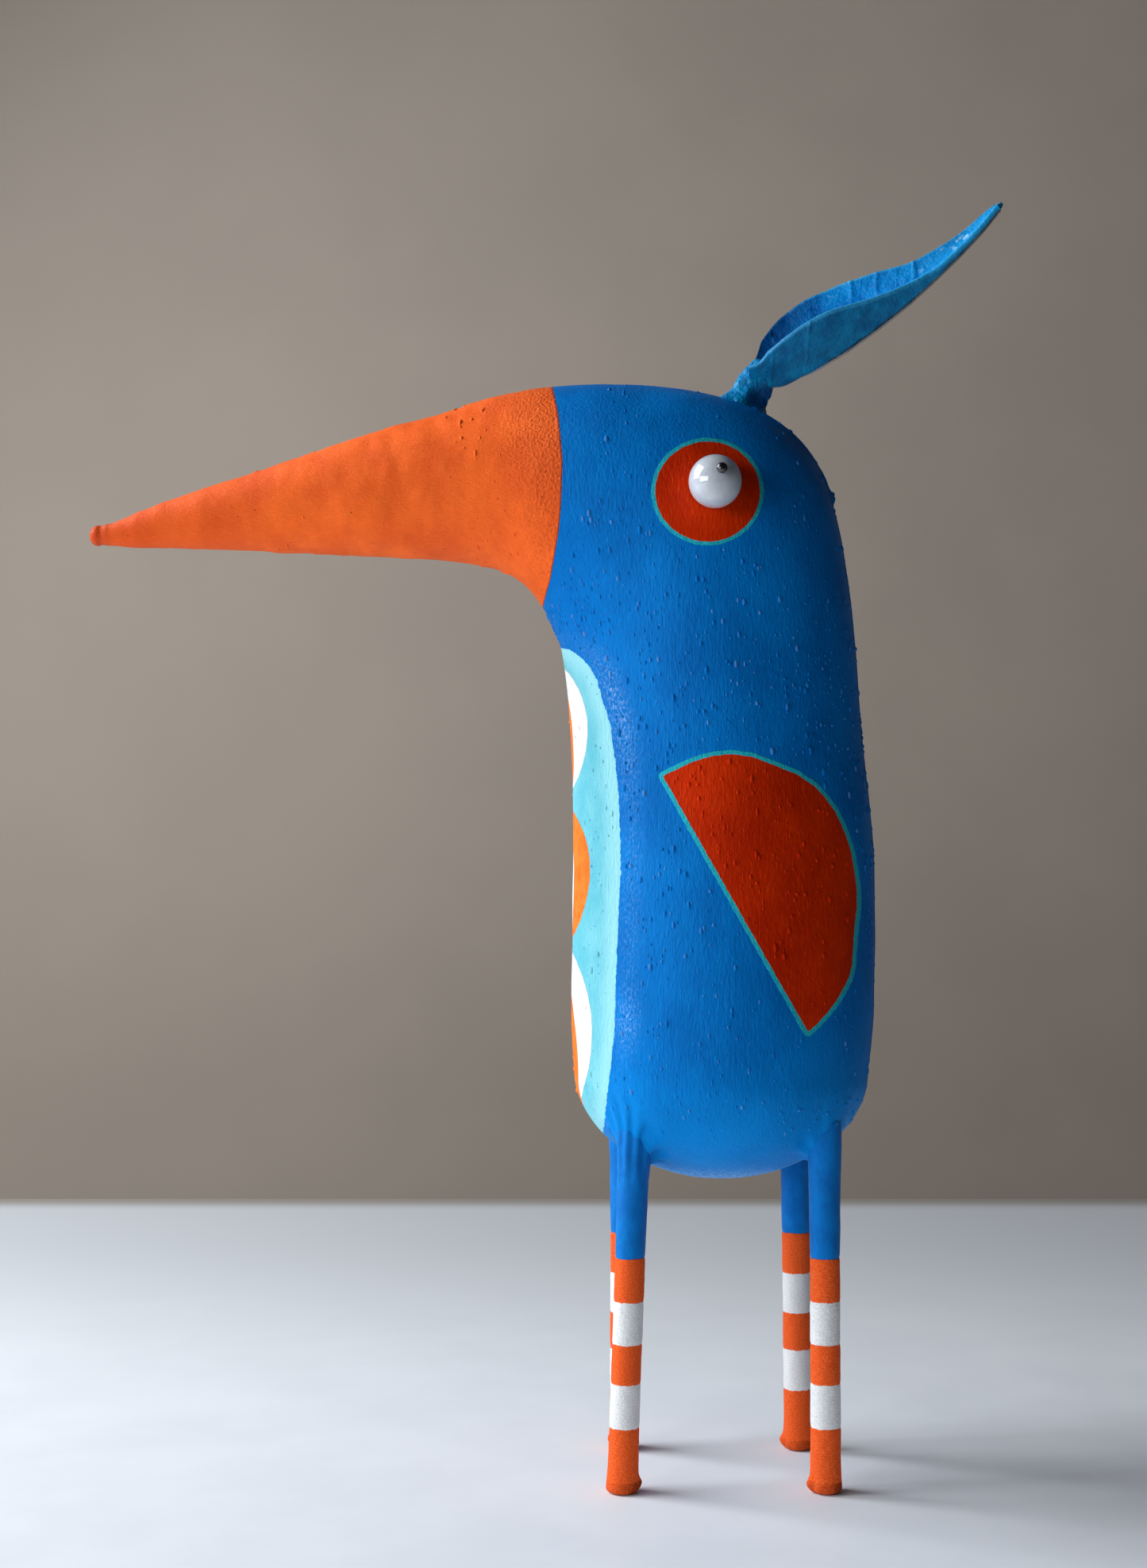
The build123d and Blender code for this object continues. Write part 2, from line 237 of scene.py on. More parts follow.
# ---- painted shapes, laid out as seen from the side
# The shapes are drawn as seen from here, and mirrored on the far side. The camera stands here too.
SIGHT = np.array((9.75, -804.0, 225.0))


def side_view(p):
    k = -SIGHT[1] / (-SIGHT[1] - np.abs(p[..., 1]))
    return SIGHT[0] + (p[..., 0] - SIGHT[0]) * k, SIGHT[2] + (p[..., 2] - SIGHT[2]) * k


BEAK_EDGE = np.array(
    [(-8, 300), (-2.2, 326.9), (0.6, 335.8), (2.4, 344.8), (4.0, 353.8), (4.9, 362.8), (5.3, 371.8),
     (5.6, 380.8), (4.9, 389.8), (4.0, 398.8), (3.2, 403.3), (2.1, 407.8), (1.0, 420)]
)
WING_CURVE = [
    (43.6, 261.8), (54.4, 266.9), (62.0, 269.2), (69.0, 270.0), (77.0, 269.0), (85.0, 266.0), (94.2, 262.3),
    (100.8, 257.8), (105.0, 253.3), (108.2, 248.8), (110.6, 244.3), (112.4, 239.8), (113.9, 235.3),
    (115.0, 230.8), (115.8, 226.3), (116.4, 221.8), (116.8, 217.3), (116.8, 212.8), (116.4, 208.3),
    (115.8, 203.8), (115.3, 197.0), (114.9, 190.3), (113.8, 185.8), (111.6, 181.3), (109.0, 176.8),
    (105.5, 172.3), (101.4, 167.8), (98.4, 165.2),
]
BELLY_CURVE = [
    (4.0, 310.3), (8.4, 309.6), (12.6, 306.5), (15.9, 302.9), (18.6, 298.0), (21.0, 289.4), (23.7, 281.0),
    (25.2, 269.6), (26.4, 259.0), (27.3, 240.2), (27.6, 225.5), (27.0, 217.0), (26.4, 200.3), (25.8, 185.3),
    (25.2, 164.9), (23.7, 151.7), (22.2, 138.8), (21.0, 127.4), (18.0, 119.0), (-60.0, 114.0), (-60.0, 311.0),
]
EYE_PATCH = (60.45, 369.3, 19.65, 18.75)
# Round spots down the front: middle's height, half-width round the body, half-height.
SPOTS = {
    "white": [(279.5, 21.6, 22.5), (167.5, 26.4, 28.0)],
    "orange": [(224.8, 22.8, 23.8)],
    "orange_middle": [(275.5, 7.5, 16.5), (158.0, 12.5, 21.5)],
    "white_middle": [(219.0, 6.0, 15.0)],
}


def spot_distance(around, z, spots):
    best = np.full(z.shape, -99.0)
    for middle, wide, high in spots:
        r = np.hypot(around / wide, (z - middle) / high)
        best = np.maximum(best, (1 - r) * min(wide, high))
    return best


def paint_fields(p, around):
    """Distances in from the edge of each painted shape, at skin points p."""
    x, z = side_view(p)
    spots = {key: spot_distance(around, p[..., 2], rows) for key, rows in SPOTS.items()}
    cx, cz, rx, rz = EYE_PATCH
    belly = inside(x, z, BELLY_CURVE)
    heights = bell(z - 286, 20) + 0.8 * bell(z - 169, 10) + 0.35 * bell(z - 225, 60)
    # Lighter lavender marks just outside the belly patch and round the underside of the body: partly scuffs in
    # the paint, partly painted sheen.
    scuff_and_sheen = bell(-belly - 4.5, 4.0) * heights * 0.75
    scuff_and_sheen += 3.0 * bell(p[..., 2] - BELLY_LOW - 0.5, 4.5) * (belly < -2)
    return {
        "wing": inside(x, z, WING_CURVE),
        "belly": belly,
        "eye": (1 - np.hypot((x - cx) / rx, (z - cz) / rz)) * (rx + rz) / 2,
        "white": np.maximum(np.minimum(spots["white"], -spots["orange_middle"]), spots["white_middle"]),
        "orange": np.maximum(np.minimum(spots["orange"], -spots["white_middle"]), spots["orange_middle"]),
        "scuff_and_sheen": scuff_and_sheen,
    }


# ---- mesh helpers


def make_piece(name, points, faces, fields=None, vectors=None, normals=None, body="figure"):
    me = bpy.data.meshes.new(name)
    me.from_pydata((np.asarray(points) / MM).tolist(), [], faces)
    for kind, part, table in (("FLOAT", "value", fields), ("FLOAT_VECTOR", "vector", vectors)):
        for key, value in (table or {}).items():
            layer = me.attributes.new(key, kind, "POINT")
            layer.data.foreach_set(part, np.asarray(value, np.float32).ravel())
    me.polygons.foreach_set("use_smooth", [True] * len(me.polygons))
    me.update()
    if normals is not None:
        me.normals_split_custom_set_from_vertices(np.asarray(normals).tolist())
    obj = bpy.data.objects.new(name, me)
    bpy.context.scene.collection.objects.link(obj)
    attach(obj, body)
    return obj


def grid_faces(rows, columns, closed=False, pole_start=False, pole_end=False):
    """Faces of a grid of points laid out row by row. A pole row is one point, first or last."""
    first = 1 if pole_start else 0
    last = rows - (1 if pole_end else 0)

    def at(r, c):
        return first + (r - first) * columns + c % columns

    faces = []
    wide = columns if closed else columns - 1
    for r in range(first, last - 1):
        for c in range(wide):
            faces.append((at(r, c), at(r, c + 1), at(r + 1, c + 1), at(r + 1, c)))
    if pole_start:
        faces += [(0, at(first, c + 1), at(first, c)) for c in range(wide)]
    if pole_end:
        top = first + (last - first) * columns
        faces += [(at(last - 1, c), at(last - 1, c + 1), top) for c in range(wide)]
    return faces


def drop_poles(grid, pole_start, pole_end):
    rows = [grid[0, :1]] if pole_start else []
    between = grid[1 if pole_start else 0: len(grid) - 1 if pole_end else None]
    rows.append(between.reshape(-1, *grid.shape[2:]))
    if pole_end:
        rows.append(grid[-1, :1])
    return np.concatenate(rows)


def grid_normals(p, wrap):
    du = np.gradient(p, axis=0)
    if wrap:
        dv = (np.roll(p, -1, 1) - np.roll(p, 1, 1)) / 2
    else:
        dv = np.gradient(p, axis=1)
    n = np.cross(dv, du)
    return n / np.maximum(np.linalg.norm(n, axis=-1, keepdims=True), 1e-9)


def outward(points, faces):
    """The same faces, turned so that they look out of the closed shape."""
    p = np.asarray(points)
    total = 0.0
    for f in faces[:: max(1, len(faces) // 4000)]:
        total += np.dot(p[f[0]] - p.mean(0), np.cross(p[f[1]] - p[f[0]], p[f[2]] - p[f[0]]))
    return faces if total > 0 else [f[::-1] for f in faces]


def grid_piece(name, grid, fields, vectors, normals=None, closed=True, poles=(True, True), turn_out=False):
    """A piece from rows of points, with its fields and normals laid out in the same rows."""

    def flat(rows):
        return drop_poles(rows, *poles)

    points = flat(grid)
    faces = grid_faces(len(grid), grid.shape[1], closed, *poles)
    return make_piece(
        name, points, outward(points, faces) if turn_out else faces,
        {key: flat(rows) for key, rows in fields.items()},
        {key: flat(rows) for key, rows in vectors.items()},
        None if normals is None else flat(normals),
    )


def close_ends(rings):
    """The same rings with one more at each end, gathered into a point."""
    first, last = (rings[end].mean(1, keepdims=True) + 0 * rings[end] for end in (slice(0, 1), slice(-1, None)))
    return np.concatenate([first, rings, last])


# ---- the painted skin: two body halves and the beak
COLUMNS = 320
PER_STATION = 5
turns = np.arange(COLUMNS) * 2 * math.pi / COLUMNS
# Where each column of skin crosses the painted edge of the beak.
probe = np.linspace(len(dome) + len(level), len(dome) + len(level) + len(fan) + 6, 400)
edge_t = np.empty(COLUMNS)
for i, turn in enumerate(turns):
    x, z = side_view(skin_at(probe, np.full(probe.shape, turn)))
    ahead = x - np.interp(z, BEAK_EDGE[:, 1], BEAK_EDGE[:, 0])
    k = np.nonzero(ahead < 0)[0][0]
    edge_t[i] = np.interp(0, [ahead[k], ahead[k - 1]], [probe[k], probe[k - 1]])
HEAD_START = len(dome) + len(level) + 4.0  # from here up, the rows lean toward the beak's edge
EDGE_MEAN = edge_t.mean()
LEG_NAMES = ("front_left", "rear_left", "front_right", "rear_right")


def leg_axis(name):
    """Foot point and direction of one leg, from its dowel."""
    p = points_mm("leg_dowel_" + name)
    z = p[:, 2]
    low, high = p[z < z.min() + 1].mean(0), p[z > z.max() - 1].mean(0)
    run = (high - low) / np.linalg.norm(high - low)
    return low - run * low[2] / run[2], run


LEGS = {name: leg_axis(name) for name in LEG_NAMES}
EYES = {side: np.mean(box_mm("eye_bead_" + side), axis=0) for side in ("left", "right")}
BEAD_RADIUS = (box_mm("eye_bead_left")[1][1] - box_mm("eye_bead_left")[0][1]) / 2
KNOT = np.array((107.6, 0.0, 367.0))
THROAT_FOLD = np.array((-14.0, 0.0, 333.0))


def relief(p, t, turn):
    """The hand-made unevenness of the skin: how far each point stands out along its normal."""
    out = 0.36 * lumps(p, 34, 1) - 0.15 + 0.2 * lumps(p, 15, 2) + 0.07 * lumps(p, (5, 5, 9), 3)
    z = p[..., 2]
    beak = unit((EDGE_MEAN + 4 - t) / -8)
    cross = lumps(p, (9, 14, 14), 4) + 0.6 * lumps(p, (4, 10, 10), 5)
    out += beak * 0.3 * cross
    out -= 1.5 * bell(np.linalg.norm((p - THROAT_FOLD) * (1, 0.7, 1), axis=-1), 20)
    # The glued strip over the joint down the back.
    back = np.abs(p[..., 1])
    on_strip = (np.abs(turn - math.pi) < 0.5) & (z > 150) & (t < HEAD_START + 25)
    fade = unit((z - 150) / 10)
    strip = 0.5 * unit((5.0 - back) / 1.1) + 0.2 * bell(back, 1.3) * (1 + lumps(p, 6, 6))
    out += on_strip * fade * strip
    # Above its knot the strip opens out on both sides toward the crest.
    lap = np.interp(z, (KNOT[2], 384, 400), (1.0, 9.0, 14.0))
    on_lap = (np.abs(turn - math.pi) < 0.9) & (z > KNOT[2] - 2) & (p[..., 0] > 66)
    out += on_lap * (0.35 * unit((lap - back) / 1.2) + 0.75 * bell(back - lap, 1.1))
    out += 1.7 * bell(np.linalg.norm(p - KNOT, axis=-1), 2.4)
    for side, eye in EYES.items():
        gap = np.linalg.norm(p - eye, axis=-1)
        out += 1.3 * bell(gap - BEAD_RADIUS - 1.2, 4.2)
    return out


def settle(p):
    """Shapes the skin round the legs and under the eye beads."""
    for name, (foot, run) in LEGS.items():
        h = (p[..., 2] - foot[2]) / run[2]
        axis = foot + run * h[..., None]
        d = p - axis
        r = np.hypot(d[..., 0], d[..., 1])
        low = p[..., 2] < 160
        turn = np.arctan2(d[..., 1], d[..., 0])
        pull = 4.6 * bell(np.maximum(r - 4.0, 0), 3.8) * low
        pleats = 1.3 if name == "front_left" else 0.5
        folds = pleats * np.cos(turn * 9 + 1.5 * lumps(p, 9, 8)) * bell(r - 8, 4.0) * low
        p[..., 2] -= pull + folds
    for eye in EYES.values():
        d = p - eye
        seat = BEAD_RADIUS + 0.25
        inward = np.sqrt(np.maximum(seat ** 2 - d[..., 0] ** 2 - d[..., 2] ** 2, 0))
        pushed = eye[1] - np.sign(eye[1]) * inward
        p[..., 1] = np.where(np.linalg.norm(d, axis=-1) < seat, pushed, p[..., 1])
    return p


def skin_grid(t, turn):
    plain = skin_at(t, turn)
    step = np.linalg.norm(np.diff(plain, axis=1, append=plain[:, :1]), axis=-1)
    total = np.cumsum(step, axis=1) - step
    half = step.sum(1, keepdims=True)
    around = np.minimum(total, half - total)
    signed = np.where(turn <= math.pi, total, total - half)
    climb = np.linalg.norm(np.diff(plain, axis=0, prepend=plain[:1]), axis=-1)
    along = np.cumsum(climb.mean(1))[:, None] + np.zeros(t.shape)
    n = grid_normals(plain, True)
    p = plain + n * relief(plain, t, turn)[..., None]
    p = settle(p)
    return p, grid_normals(p, True), around, np.stack([signed, along, np.zeros(t.shape)], -1)


rows = int(EDGE_MEAN * PER_STATION)
u = np.linspace(0, EDGE_MEAN, rows)[:, None]
warp = unit((u - HEAD_START) / (EDGE_MEAN - HEAD_START))
t_body = u + warp * (edge_t[None, :] - EDGE_MEAN)
turn_body = turns[None, :] + np.zeros(t_body.shape)
p, n, around, flow = skin_grid(t_body, turn_body)
n[0] = (0, 0, -1)
fields = paint_fields(p, around)
halfway = COLUMNS // 2
body_halves = {}
for side, columns in (("left", range(0, halfway + 1)), ("right", range(halfway, COLUMNS + 1))):
    pick = np.array(columns) % COLUMNS
    sub_flow = flow[:, pick].copy()
    if side == "left":
        sub_flow[:, -1, 0] = np.abs(sub_flow[:, -1, 0])
    else:
        sub_flow[:, 0, 0] = -np.abs(sub_flow[:, 0, 0])
    body_halves[side] = grid_piece(
        "painted_skin_" + side, p[:, pick], {key: values[:, pick] for key, values in fields.items()},
        {"flow": sub_flow}, n[:, pick], closed=False, poles=(True, False),
    )
    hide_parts("body_skin_" + side)
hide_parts("body_skin_left", "back_seam_strip")
BODY_POINTS, BODY_NORMALS, BODY_FLOW, BODY_FIELDS = p, n, flow, fields

rows = int((SPAN - EDGE_MEAN) * 6)
s = np.linspace(0, 1, rows)[:, None]
t_beak = edge_t[None, :] + s * (SPAN - edge_t[None, :])
turn_beak = turns[None, :] + np.zeros(t_beak.shape)
p, n, around, flow = skin_grid(t_beak, turn_beak)
n[-1] = (-1, 0, 0)
flow[..., 1] -= flow[:1, :, 1]
beak = grid_piece("painted_beak", p, {"from_tip": p[..., 0] - NUB_END}, {"flow": flow}, n, poles=(False, True))
BEAK_POINTS, BEAK_NORMALS, BEAK_FLOW = p, n, flow
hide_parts("beak_skin")

# ---- the crest: one cupped leaf, and its stem


def slice_at(node, x):
    """Where the plane at x cuts a CAD node: (y, z) points."""
    me = NODES[node].data
    co = points_mm(node)
    edges = np.array([e.vertices[:] for e in me.edges])
    a, b = co[edges[:, 0]], co[edges[:, 1]]
    cut = (a[:, 0] - x) * (b[:, 0] - x) < 0
    a, b = a[cut], b[cut]
    k = ((x - a[:, 0]) / (b[:, 0] - a[:, 0]))[:, None]
    return (a + (b - a) * k)[:, 1:]


def leaf_edges(node):
    """The keel edge and the rim of one CAD blade, as points from its base to its tip."""
    low, high = box_mm(node)
    keel, rim = [], []
    for x in np.linspace(low[0] + 0.3, high[0] - 0.3, 90):
        cut = slice_at(node, x)
        if len(cut) < 2:
            continue
        rim.append((x, *cut[np.argmax(np.abs(cut[:, 0]))]))
        if np.abs(cut[:, 0]).min() < 2.2:
            keel.append((x, *cut[np.argmin(np.abs(cut[:, 0]))]))
    return np.array(keel), np.array(rim)


keel_left, rim_left = (soften(e) for e in leaf_edges("crest_blade_left"))
rim_right = soften(leaf_edges("crest_blade_right")[1])
LEAF_BASE, LEAF_TIP = keel_left[0][0] - 3.6, keel_left[-1][0] + 1.9
LEAF_ROWS, LEAF_COLUMNS = 260, 61
xs = np.linspace(LEAF_BASE, LEAF_TIP, LEAF_ROWS)
keel_z = np.interp(xs, keel_left[:, 0], keel_left[:, 2]) - 0.7 * unit((124 - xs) / 12)
keel = np.stack([xs, np.zeros(LEAF_ROWS), keel_z], -1)
beyond = xs > keel_left[-1][0]
slope = (keel_left[-1][2] - keel_left[-8][2]) / (keel_left[-1][0] - keel_left[-8][0])
keel[beyond, 2] += (xs[beyond] - keel_left[-1][0]) * slope
run = np.gradient(keel, axis=0)
run /= np.linalg.norm(run, axis=1, keepdims=True)


def rim_at(rim):
    """The rim's point in the plane square to the keel, for each row."""
    out = np.empty((LEAF_ROWS, 3))
    for i in range(LEAF_ROWS):
        s = (rim - keel[i]) @ run[i]
        out[i] = [np.interp(0, s, rim[:, k]) for k in range(3)]
    base = np.nonzero(xs > keel_left[0][0] + 1.0)[0][0]
    out[:base] = keel[:base] + (out[base] - keel[base])
    return out


rows_left, rows_right = rim_at(rim_left), rim_at(rim_right)
near_end = unit((LEAF_TIP - xs) / 1.6) ** 0.5
grow = unit((xs - LEAF_BASE) / 8)
wide_left = np.linalg.norm(rows_left - keel, axis=1)
wide_right = np.linalg.norm(rows_right - keel, axis=1)
least = 1.7 * near_end + 0.2
u = np.linspace(-1, 1, LEAF_COLUMNS)
dir_left = (rows_left - keel) / wide_left[:, None]
dir_right = (rows_right - keel) / wide_right[:, None]
wide_left = np.maximum(wide_left * (0.72 + 0.28 * grow), least)
wide_right = np.maximum(wide_right * (0.5 + 0.5 * grow), least)


def ramp(v, soft=0.05):
    return (v + np.sqrt(v * v + soft * soft)) / 2


h_left, h_right = ramp(-u), ramp(u)
h_left, h_right = h_left / h_left[0], h_right / h_right[-1]
mid = keel[:, None] + (dir_left * wide_left[:, None])[:, None] * h_left[None, :, None]
mid = mid + (dir_right * wide_right[:, None])[:, None] * h_right[None, :, None]
face = grid_normals(mid, False)
if face[LEAF_ROWS // 2, 8, 1] > 0:
    face = -face  # out of the trough: the near blade's outer face looks to the bird's left and down
wide = np.where(u < 0, wide_left[:, None], wide_right[:, None])
from_rim = (1 - np.abs(u))[None, :] * wide
from_keel = np.abs(u)[None, :] * wide
bulge = 0.05 * wide * np.sin(np.abs(u) * math.pi) * near_end[:, None]
X = xs[:, None] + np.zeros(u.shape)
veins = sum(
    (0.42 + 0.25 * lumps(mid, 6, 15)) * bell(mid[..., 0] - at - 0.5 * lumps(mid, 5, 11), 0.65) * (side * u > 0)
    for at, side in ((115.5, 1), (125.1, 1), (138.9, 1), (96.9, -1), (83.6, -1))
)
ripple = 0.35 * lumps(mid, 7, 12) + 0.16 * lumps(mid, 2.6, 13)
thick = (0.6 + 0.16 * bell(from_rim, 0.7) + 0.4 * bell(from_keel, 2.5)) * (0.3 + 0.7 * near_end[:, None])
wave = np.abs(lumps(mid * (1, 0, 0), 6.5, 14)) * np.clip((128 - X) / 20, 0.2, 1)
keel_lump = 0.3 + 1.6 * wave + 1.0 * unit((105 - X) / 15)
keel_lump = keel_lump * bell(from_keel, 2.6) * near_end[:, None]
outer = mid + face * (bulge + ripple + thick + keel_lump)[..., None]
inner_face = mid + face * (bulge + ripple - thick)[..., None]
outer = outer + face * veins[..., None] * 0.6 * (u < 0)[None, :, None]
inner_face = inner_face - face * veins[..., None] * (u > 0)[None, :, None]
# Each rim is rolled over by one more point, half-way between the two faces and a little further out.
lip_left, lip_right = (
    mid[:, at] + (bulge + ripple)[:, at, None] * face[:, at] + way[:, None] * 0.32 * near_end[:, None, None]
    for at, way in ((slice(0, 1), dir_left), (slice(-1, None), dir_right))
)
ring = close_ends(np.concatenate([lip_left, outer, lip_right, inner_face[:, ::-1]], axis=1))
ring[-1] += run[-1] * 0.5
on_near = np.concatenate([[1.0], (u < 0), [0.0], (u[::-1] < 0)]).astype(float)
is_inner = np.concatenate([[0.5], np.zeros(LEAF_COLUMNS), [0.5], np.ones(LEAF_COLUMNS)])
at_lip = np.zeros((LEAF_ROWS, 1))
rim_mark = np.concatenate([at_lip, from_rim, at_lip, from_rim[:, ::-1]], axis=1)
rim_mark = np.concatenate([rim_mark[:1], rim_mark, rim_mark[-1:]])
flow_across = np.concatenate([[-1], u, [1], u[::-1]])
blank = np.zeros(ring.shape[:2])
leaf = grid_piece(
    "crest_leaf", ring,
    {"near": on_near[None, :] + blank, "inner": is_inner[None, :] + blank, "from_rim": rim_mark},
    {"flow": np.stack([flow_across * 24 + blank, ring[..., 0], is_inner * 40 + blank], -1)}, turn_out=True,
)
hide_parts("crest_blade_left", "crest_blade_right")

# The stem: pasted to the crown, pinched, then lost in the leaf's hollow.
STEM = [  # middle x, z; half-length and tilt of the section in the side view; half-width
    (71.0, 391.0, 12.5, -24, 9.5), (72.9, 396.6, 11.8, -24, 8.6), (74.0, 400.6, 10.0, -23, 7.2),
    (75.4, 403.6, 8.0, -25, 5.4), (77.2, 407.0, 7.0, -31, 4.3), (79.2, 410.6, 6.9, -35, 4.2),
    (80.9, 413.6, 6.2, -38, 4.0), (82.4, 416.2, 4.6, -40, 3.6), (83.2, 417.6, 2.6, -40, 2.0),
]
STEM_ROWS, STEM_COLUMNS = 80, 90
stem_t = np.linspace(0, len(STEM) - 1, STEM_ROWS)
stem_row = curve(STEM, stem_t)
a = np.arange(STEM_COLUMNS) * 2 * math.pi / STEM_COLUMNS
tilt = np.radians(stem_row[:, 3])[:, None]
long_run = stem_row[:, 2][:, None] * np.cos(a)
stem = np.stack([
    stem_row[:, 0][:, None] + long_run * np.cos(tilt),
    stem_row[:, 4][:, None] * np.sin(a) + 0 * tilt,
    stem_row[:, 1][:, None] + long_run * np.sin(tilt),
], -1)
stem_n = grid_normals(stem, True)
centre = np.stack([stem_row[:, 0], 0 * stem_row[:, 0], stem_row[:, 1]], -1)[:, None]
stem_n *= np.sign(np.sum(stem_n * (stem - centre), -1, keepdims=True))
stem_lumps = 0.45 * lumps(stem, 3.2, 21) + 0.3 * lumps(stem, 1.5, 22) + 0.5 * lumps(stem, 8, 23)
stem = stem + stem_n * stem_lumps[..., None]
# On its right the near side is creased in, under the overhanging base of the leaf.
crease = bell(stem[..., 2] - 404.5, 5.0) * unit((stem[..., 0] - centre[..., 0] + 1.0) / 3.5)
stem[..., 1] += 3.0 * crease * unit(-stem_n[..., 1])
stem_shade = unit(1.4 * crease * (stem_n[..., 1] < 0.3))
stem = close_ends(stem)
# The stem's inner field carries stem_shade: painted shade in the crease under the leaf's overhanging base.
stem_piece = grid_piece(
    "crest_stem", stem,
    {
        "near": np.ones(stem.shape[:2]),
        "inner": np.concatenate([stem_shade[:1], stem_shade, stem_shade[-1:]]),
        "from_rim": np.full(stem.shape[:2], 9.0),
    },
    {"flow": stem}, turn_out=True,
)
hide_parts("crest_foot")

# ---- legs: paper wraps with felt-like bands
BANDS = (23.6, 39.4, 53.8, 69.2, 85.0)
LEG_TOP = 141.0
FOOT_FOLD = {"front_left": 0.15, "rear_left": 3.3, "front_right": 2.6, "rear_right": 3.0}
LEG_COLUMNS, LEG_RADIUS = 96, 5.4
for number, name in enumerate(LEG_NAMES):
    foot, run = LEGS[name]
    z = np.concatenate([(0.02, 0.12, 0.3, 0.55, 0.9, 1.3), np.arange(1.8, LEG_TOP, 0.8)])
    a = np.arange(LEG_COLUMNS) * 2 * math.pi / LEG_COLUMNS
    r = curve([[5.95], [5.6], [5.42], [5.4], [5.4], [5.38], [5.36], [5.34], [5.33], [5.35], [5.35],
               [5.45], [5.55], [5.65], [5.8], [6.0], [6.2], [6.0], [5.4]], z / 8.0)[:, 0]
    r = r - 2.0 * (1 - np.sqrt(1 - (1 - np.minimum(z, 2.0) / 2.0) ** 2))
    A, Z = np.meshgrid(a, z)
    R = r[:, None] + 0 * A
    for band in BANDS:
        R -= 0.16 * bell(Z - band - 0.15 * np.sin(A * 2 + number), 0.7)
    R += 0.10 * (Z < BANDS[-1])
    fold = np.angle(np.exp(1j * (A - FOOT_FOLD[name])))
    R += 1.3 * bell(fold, 0.3) * bell(Z - 3.2, 2.0) - 0.4 * bell(fold - 0.5, 0.2) * bell(Z - 2, 4)
    q = np.stack([foot[0] + R * np.cos(A) + number * 50, foot[1] + R * np.sin(A), Z], -1)
    R += 0.13 * lumps(q, 9, 31) + 0.06 * lumps(q, (2, 2, 2.4), 32)
    if name == "front_left":
        R += 0.35 * np.cos(A * 9) * unit((Z - 112) / 10)
    side_a = np.stack([np.cos(A), np.sin(A), 0 * A], -1)
    axis = foot + run * (Z / run[2])[..., None]
    leg = axis + side_a * R[..., None]
    bottom = axis[:1] * (1, 1, 0) + 0 * leg[:1]
    leg = np.concatenate([bottom, leg])
    arc = np.concatenate([A[:1], A]) * LEG_RADIUS
    flow = np.stack([arc, leg[..., 2], np.full(arc.shape, number * 30.0)], -1)
    piece = grid_piece(
        "leg_cover_" + name, leg, {"height": leg[..., 2]}, {"flow": flow}, poles=(True, False), turn_out=True,
    )
    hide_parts("leg_wrap_" + name)

# ---- eyes: a bead that turns on a pin, and the pin's head


def turned(eye, axes, profile, columns, name, body, wobble, seed, pole_end):
    """A piece turned on the pin's axis. Profile rows are radius and height, from the bead's middle."""
    across, up, out = axes
    prof = np.array(profile)
    a = np.arange(columns) * 2 * math.pi / columns
    ring = prof[:, :1] * np.cos(a), prof[:, :1] * np.sin(a)
    q = eye + across * ring[0][..., None] + up * ring[1][..., None] + out * prof[:, 1][:, None, None]
    n = q - q.mean((0, 1))
    n /= np.linalg.norm(n, axis=-1, keepdims=True)
    q = q + n * (wobble * lumps(q, 6, seed))[..., None]
    if pole_end:
        pts = drop_poles(q, True, True)
        f = grid_faces(len(q), columns, closed=True, pole_start=True, pole_end=True)
    else:
        q = np.concatenate([q, q[:1]])
        pts = q[:-1].reshape(-1, 3)
        f = [tuple(i % len(pts) for i in g) for g in grid_faces(len(q), columns, closed=True)]
    return make_piece(name, pts, outward(pts, f), body=body)


for side, eye in EYES.items():
    low, high = box_mm("eye_pupil_" + side)
    out = (low + high) / 2 - eye
    out_length = np.linalg.norm(out)
    out = out / out_length
    across = np.cross(out, (0, 0, 1.0))
    across /= np.linalg.norm(across)
    axes = across, np.cross(across, out), out

    bore, radius = 0.85, BEAD_RADIUS
    reach = math.acos((bore + 0.35) / radius)
    profile = [(radius * math.cos(b), radius * math.sin(b)) for b in np.linspace(-reach, reach, 70)]
    lip = radius * math.sin(reach)
    profile += [(bore + 0.1, lip - 0.12), (bore, lip - 0.5), (bore, 0)]
    profile += [(bore, 0.5 - lip), (bore + 0.1, 0.12 - lip)]
    bead = turned(eye, axes, profile, 120, "eye_ball_" + side, "eye_" + side, 0.03, 41, False)
    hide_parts("eye_bead_" + side)
    size = (high[2] - low[2]) / 2
    head = [(1e-4, -0.55 * size)]
    head += [(size * math.cos(b), size * math.sin(b)) for b in np.linspace(-0.55, 1.5, 26)]
    head = [(x, h * 0.9 + out_length) for x, h in head] + [(1e-4, size * 0.9 + out_length)]
    pupil = turned(eye, axes, head, 64, "pin_head_" + side, "figure", 0.04, 42, True)
    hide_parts("eye_pupil_" + side)

# ---- grains of paste dried into the skin
SIDES, LEVELS = 8, 3


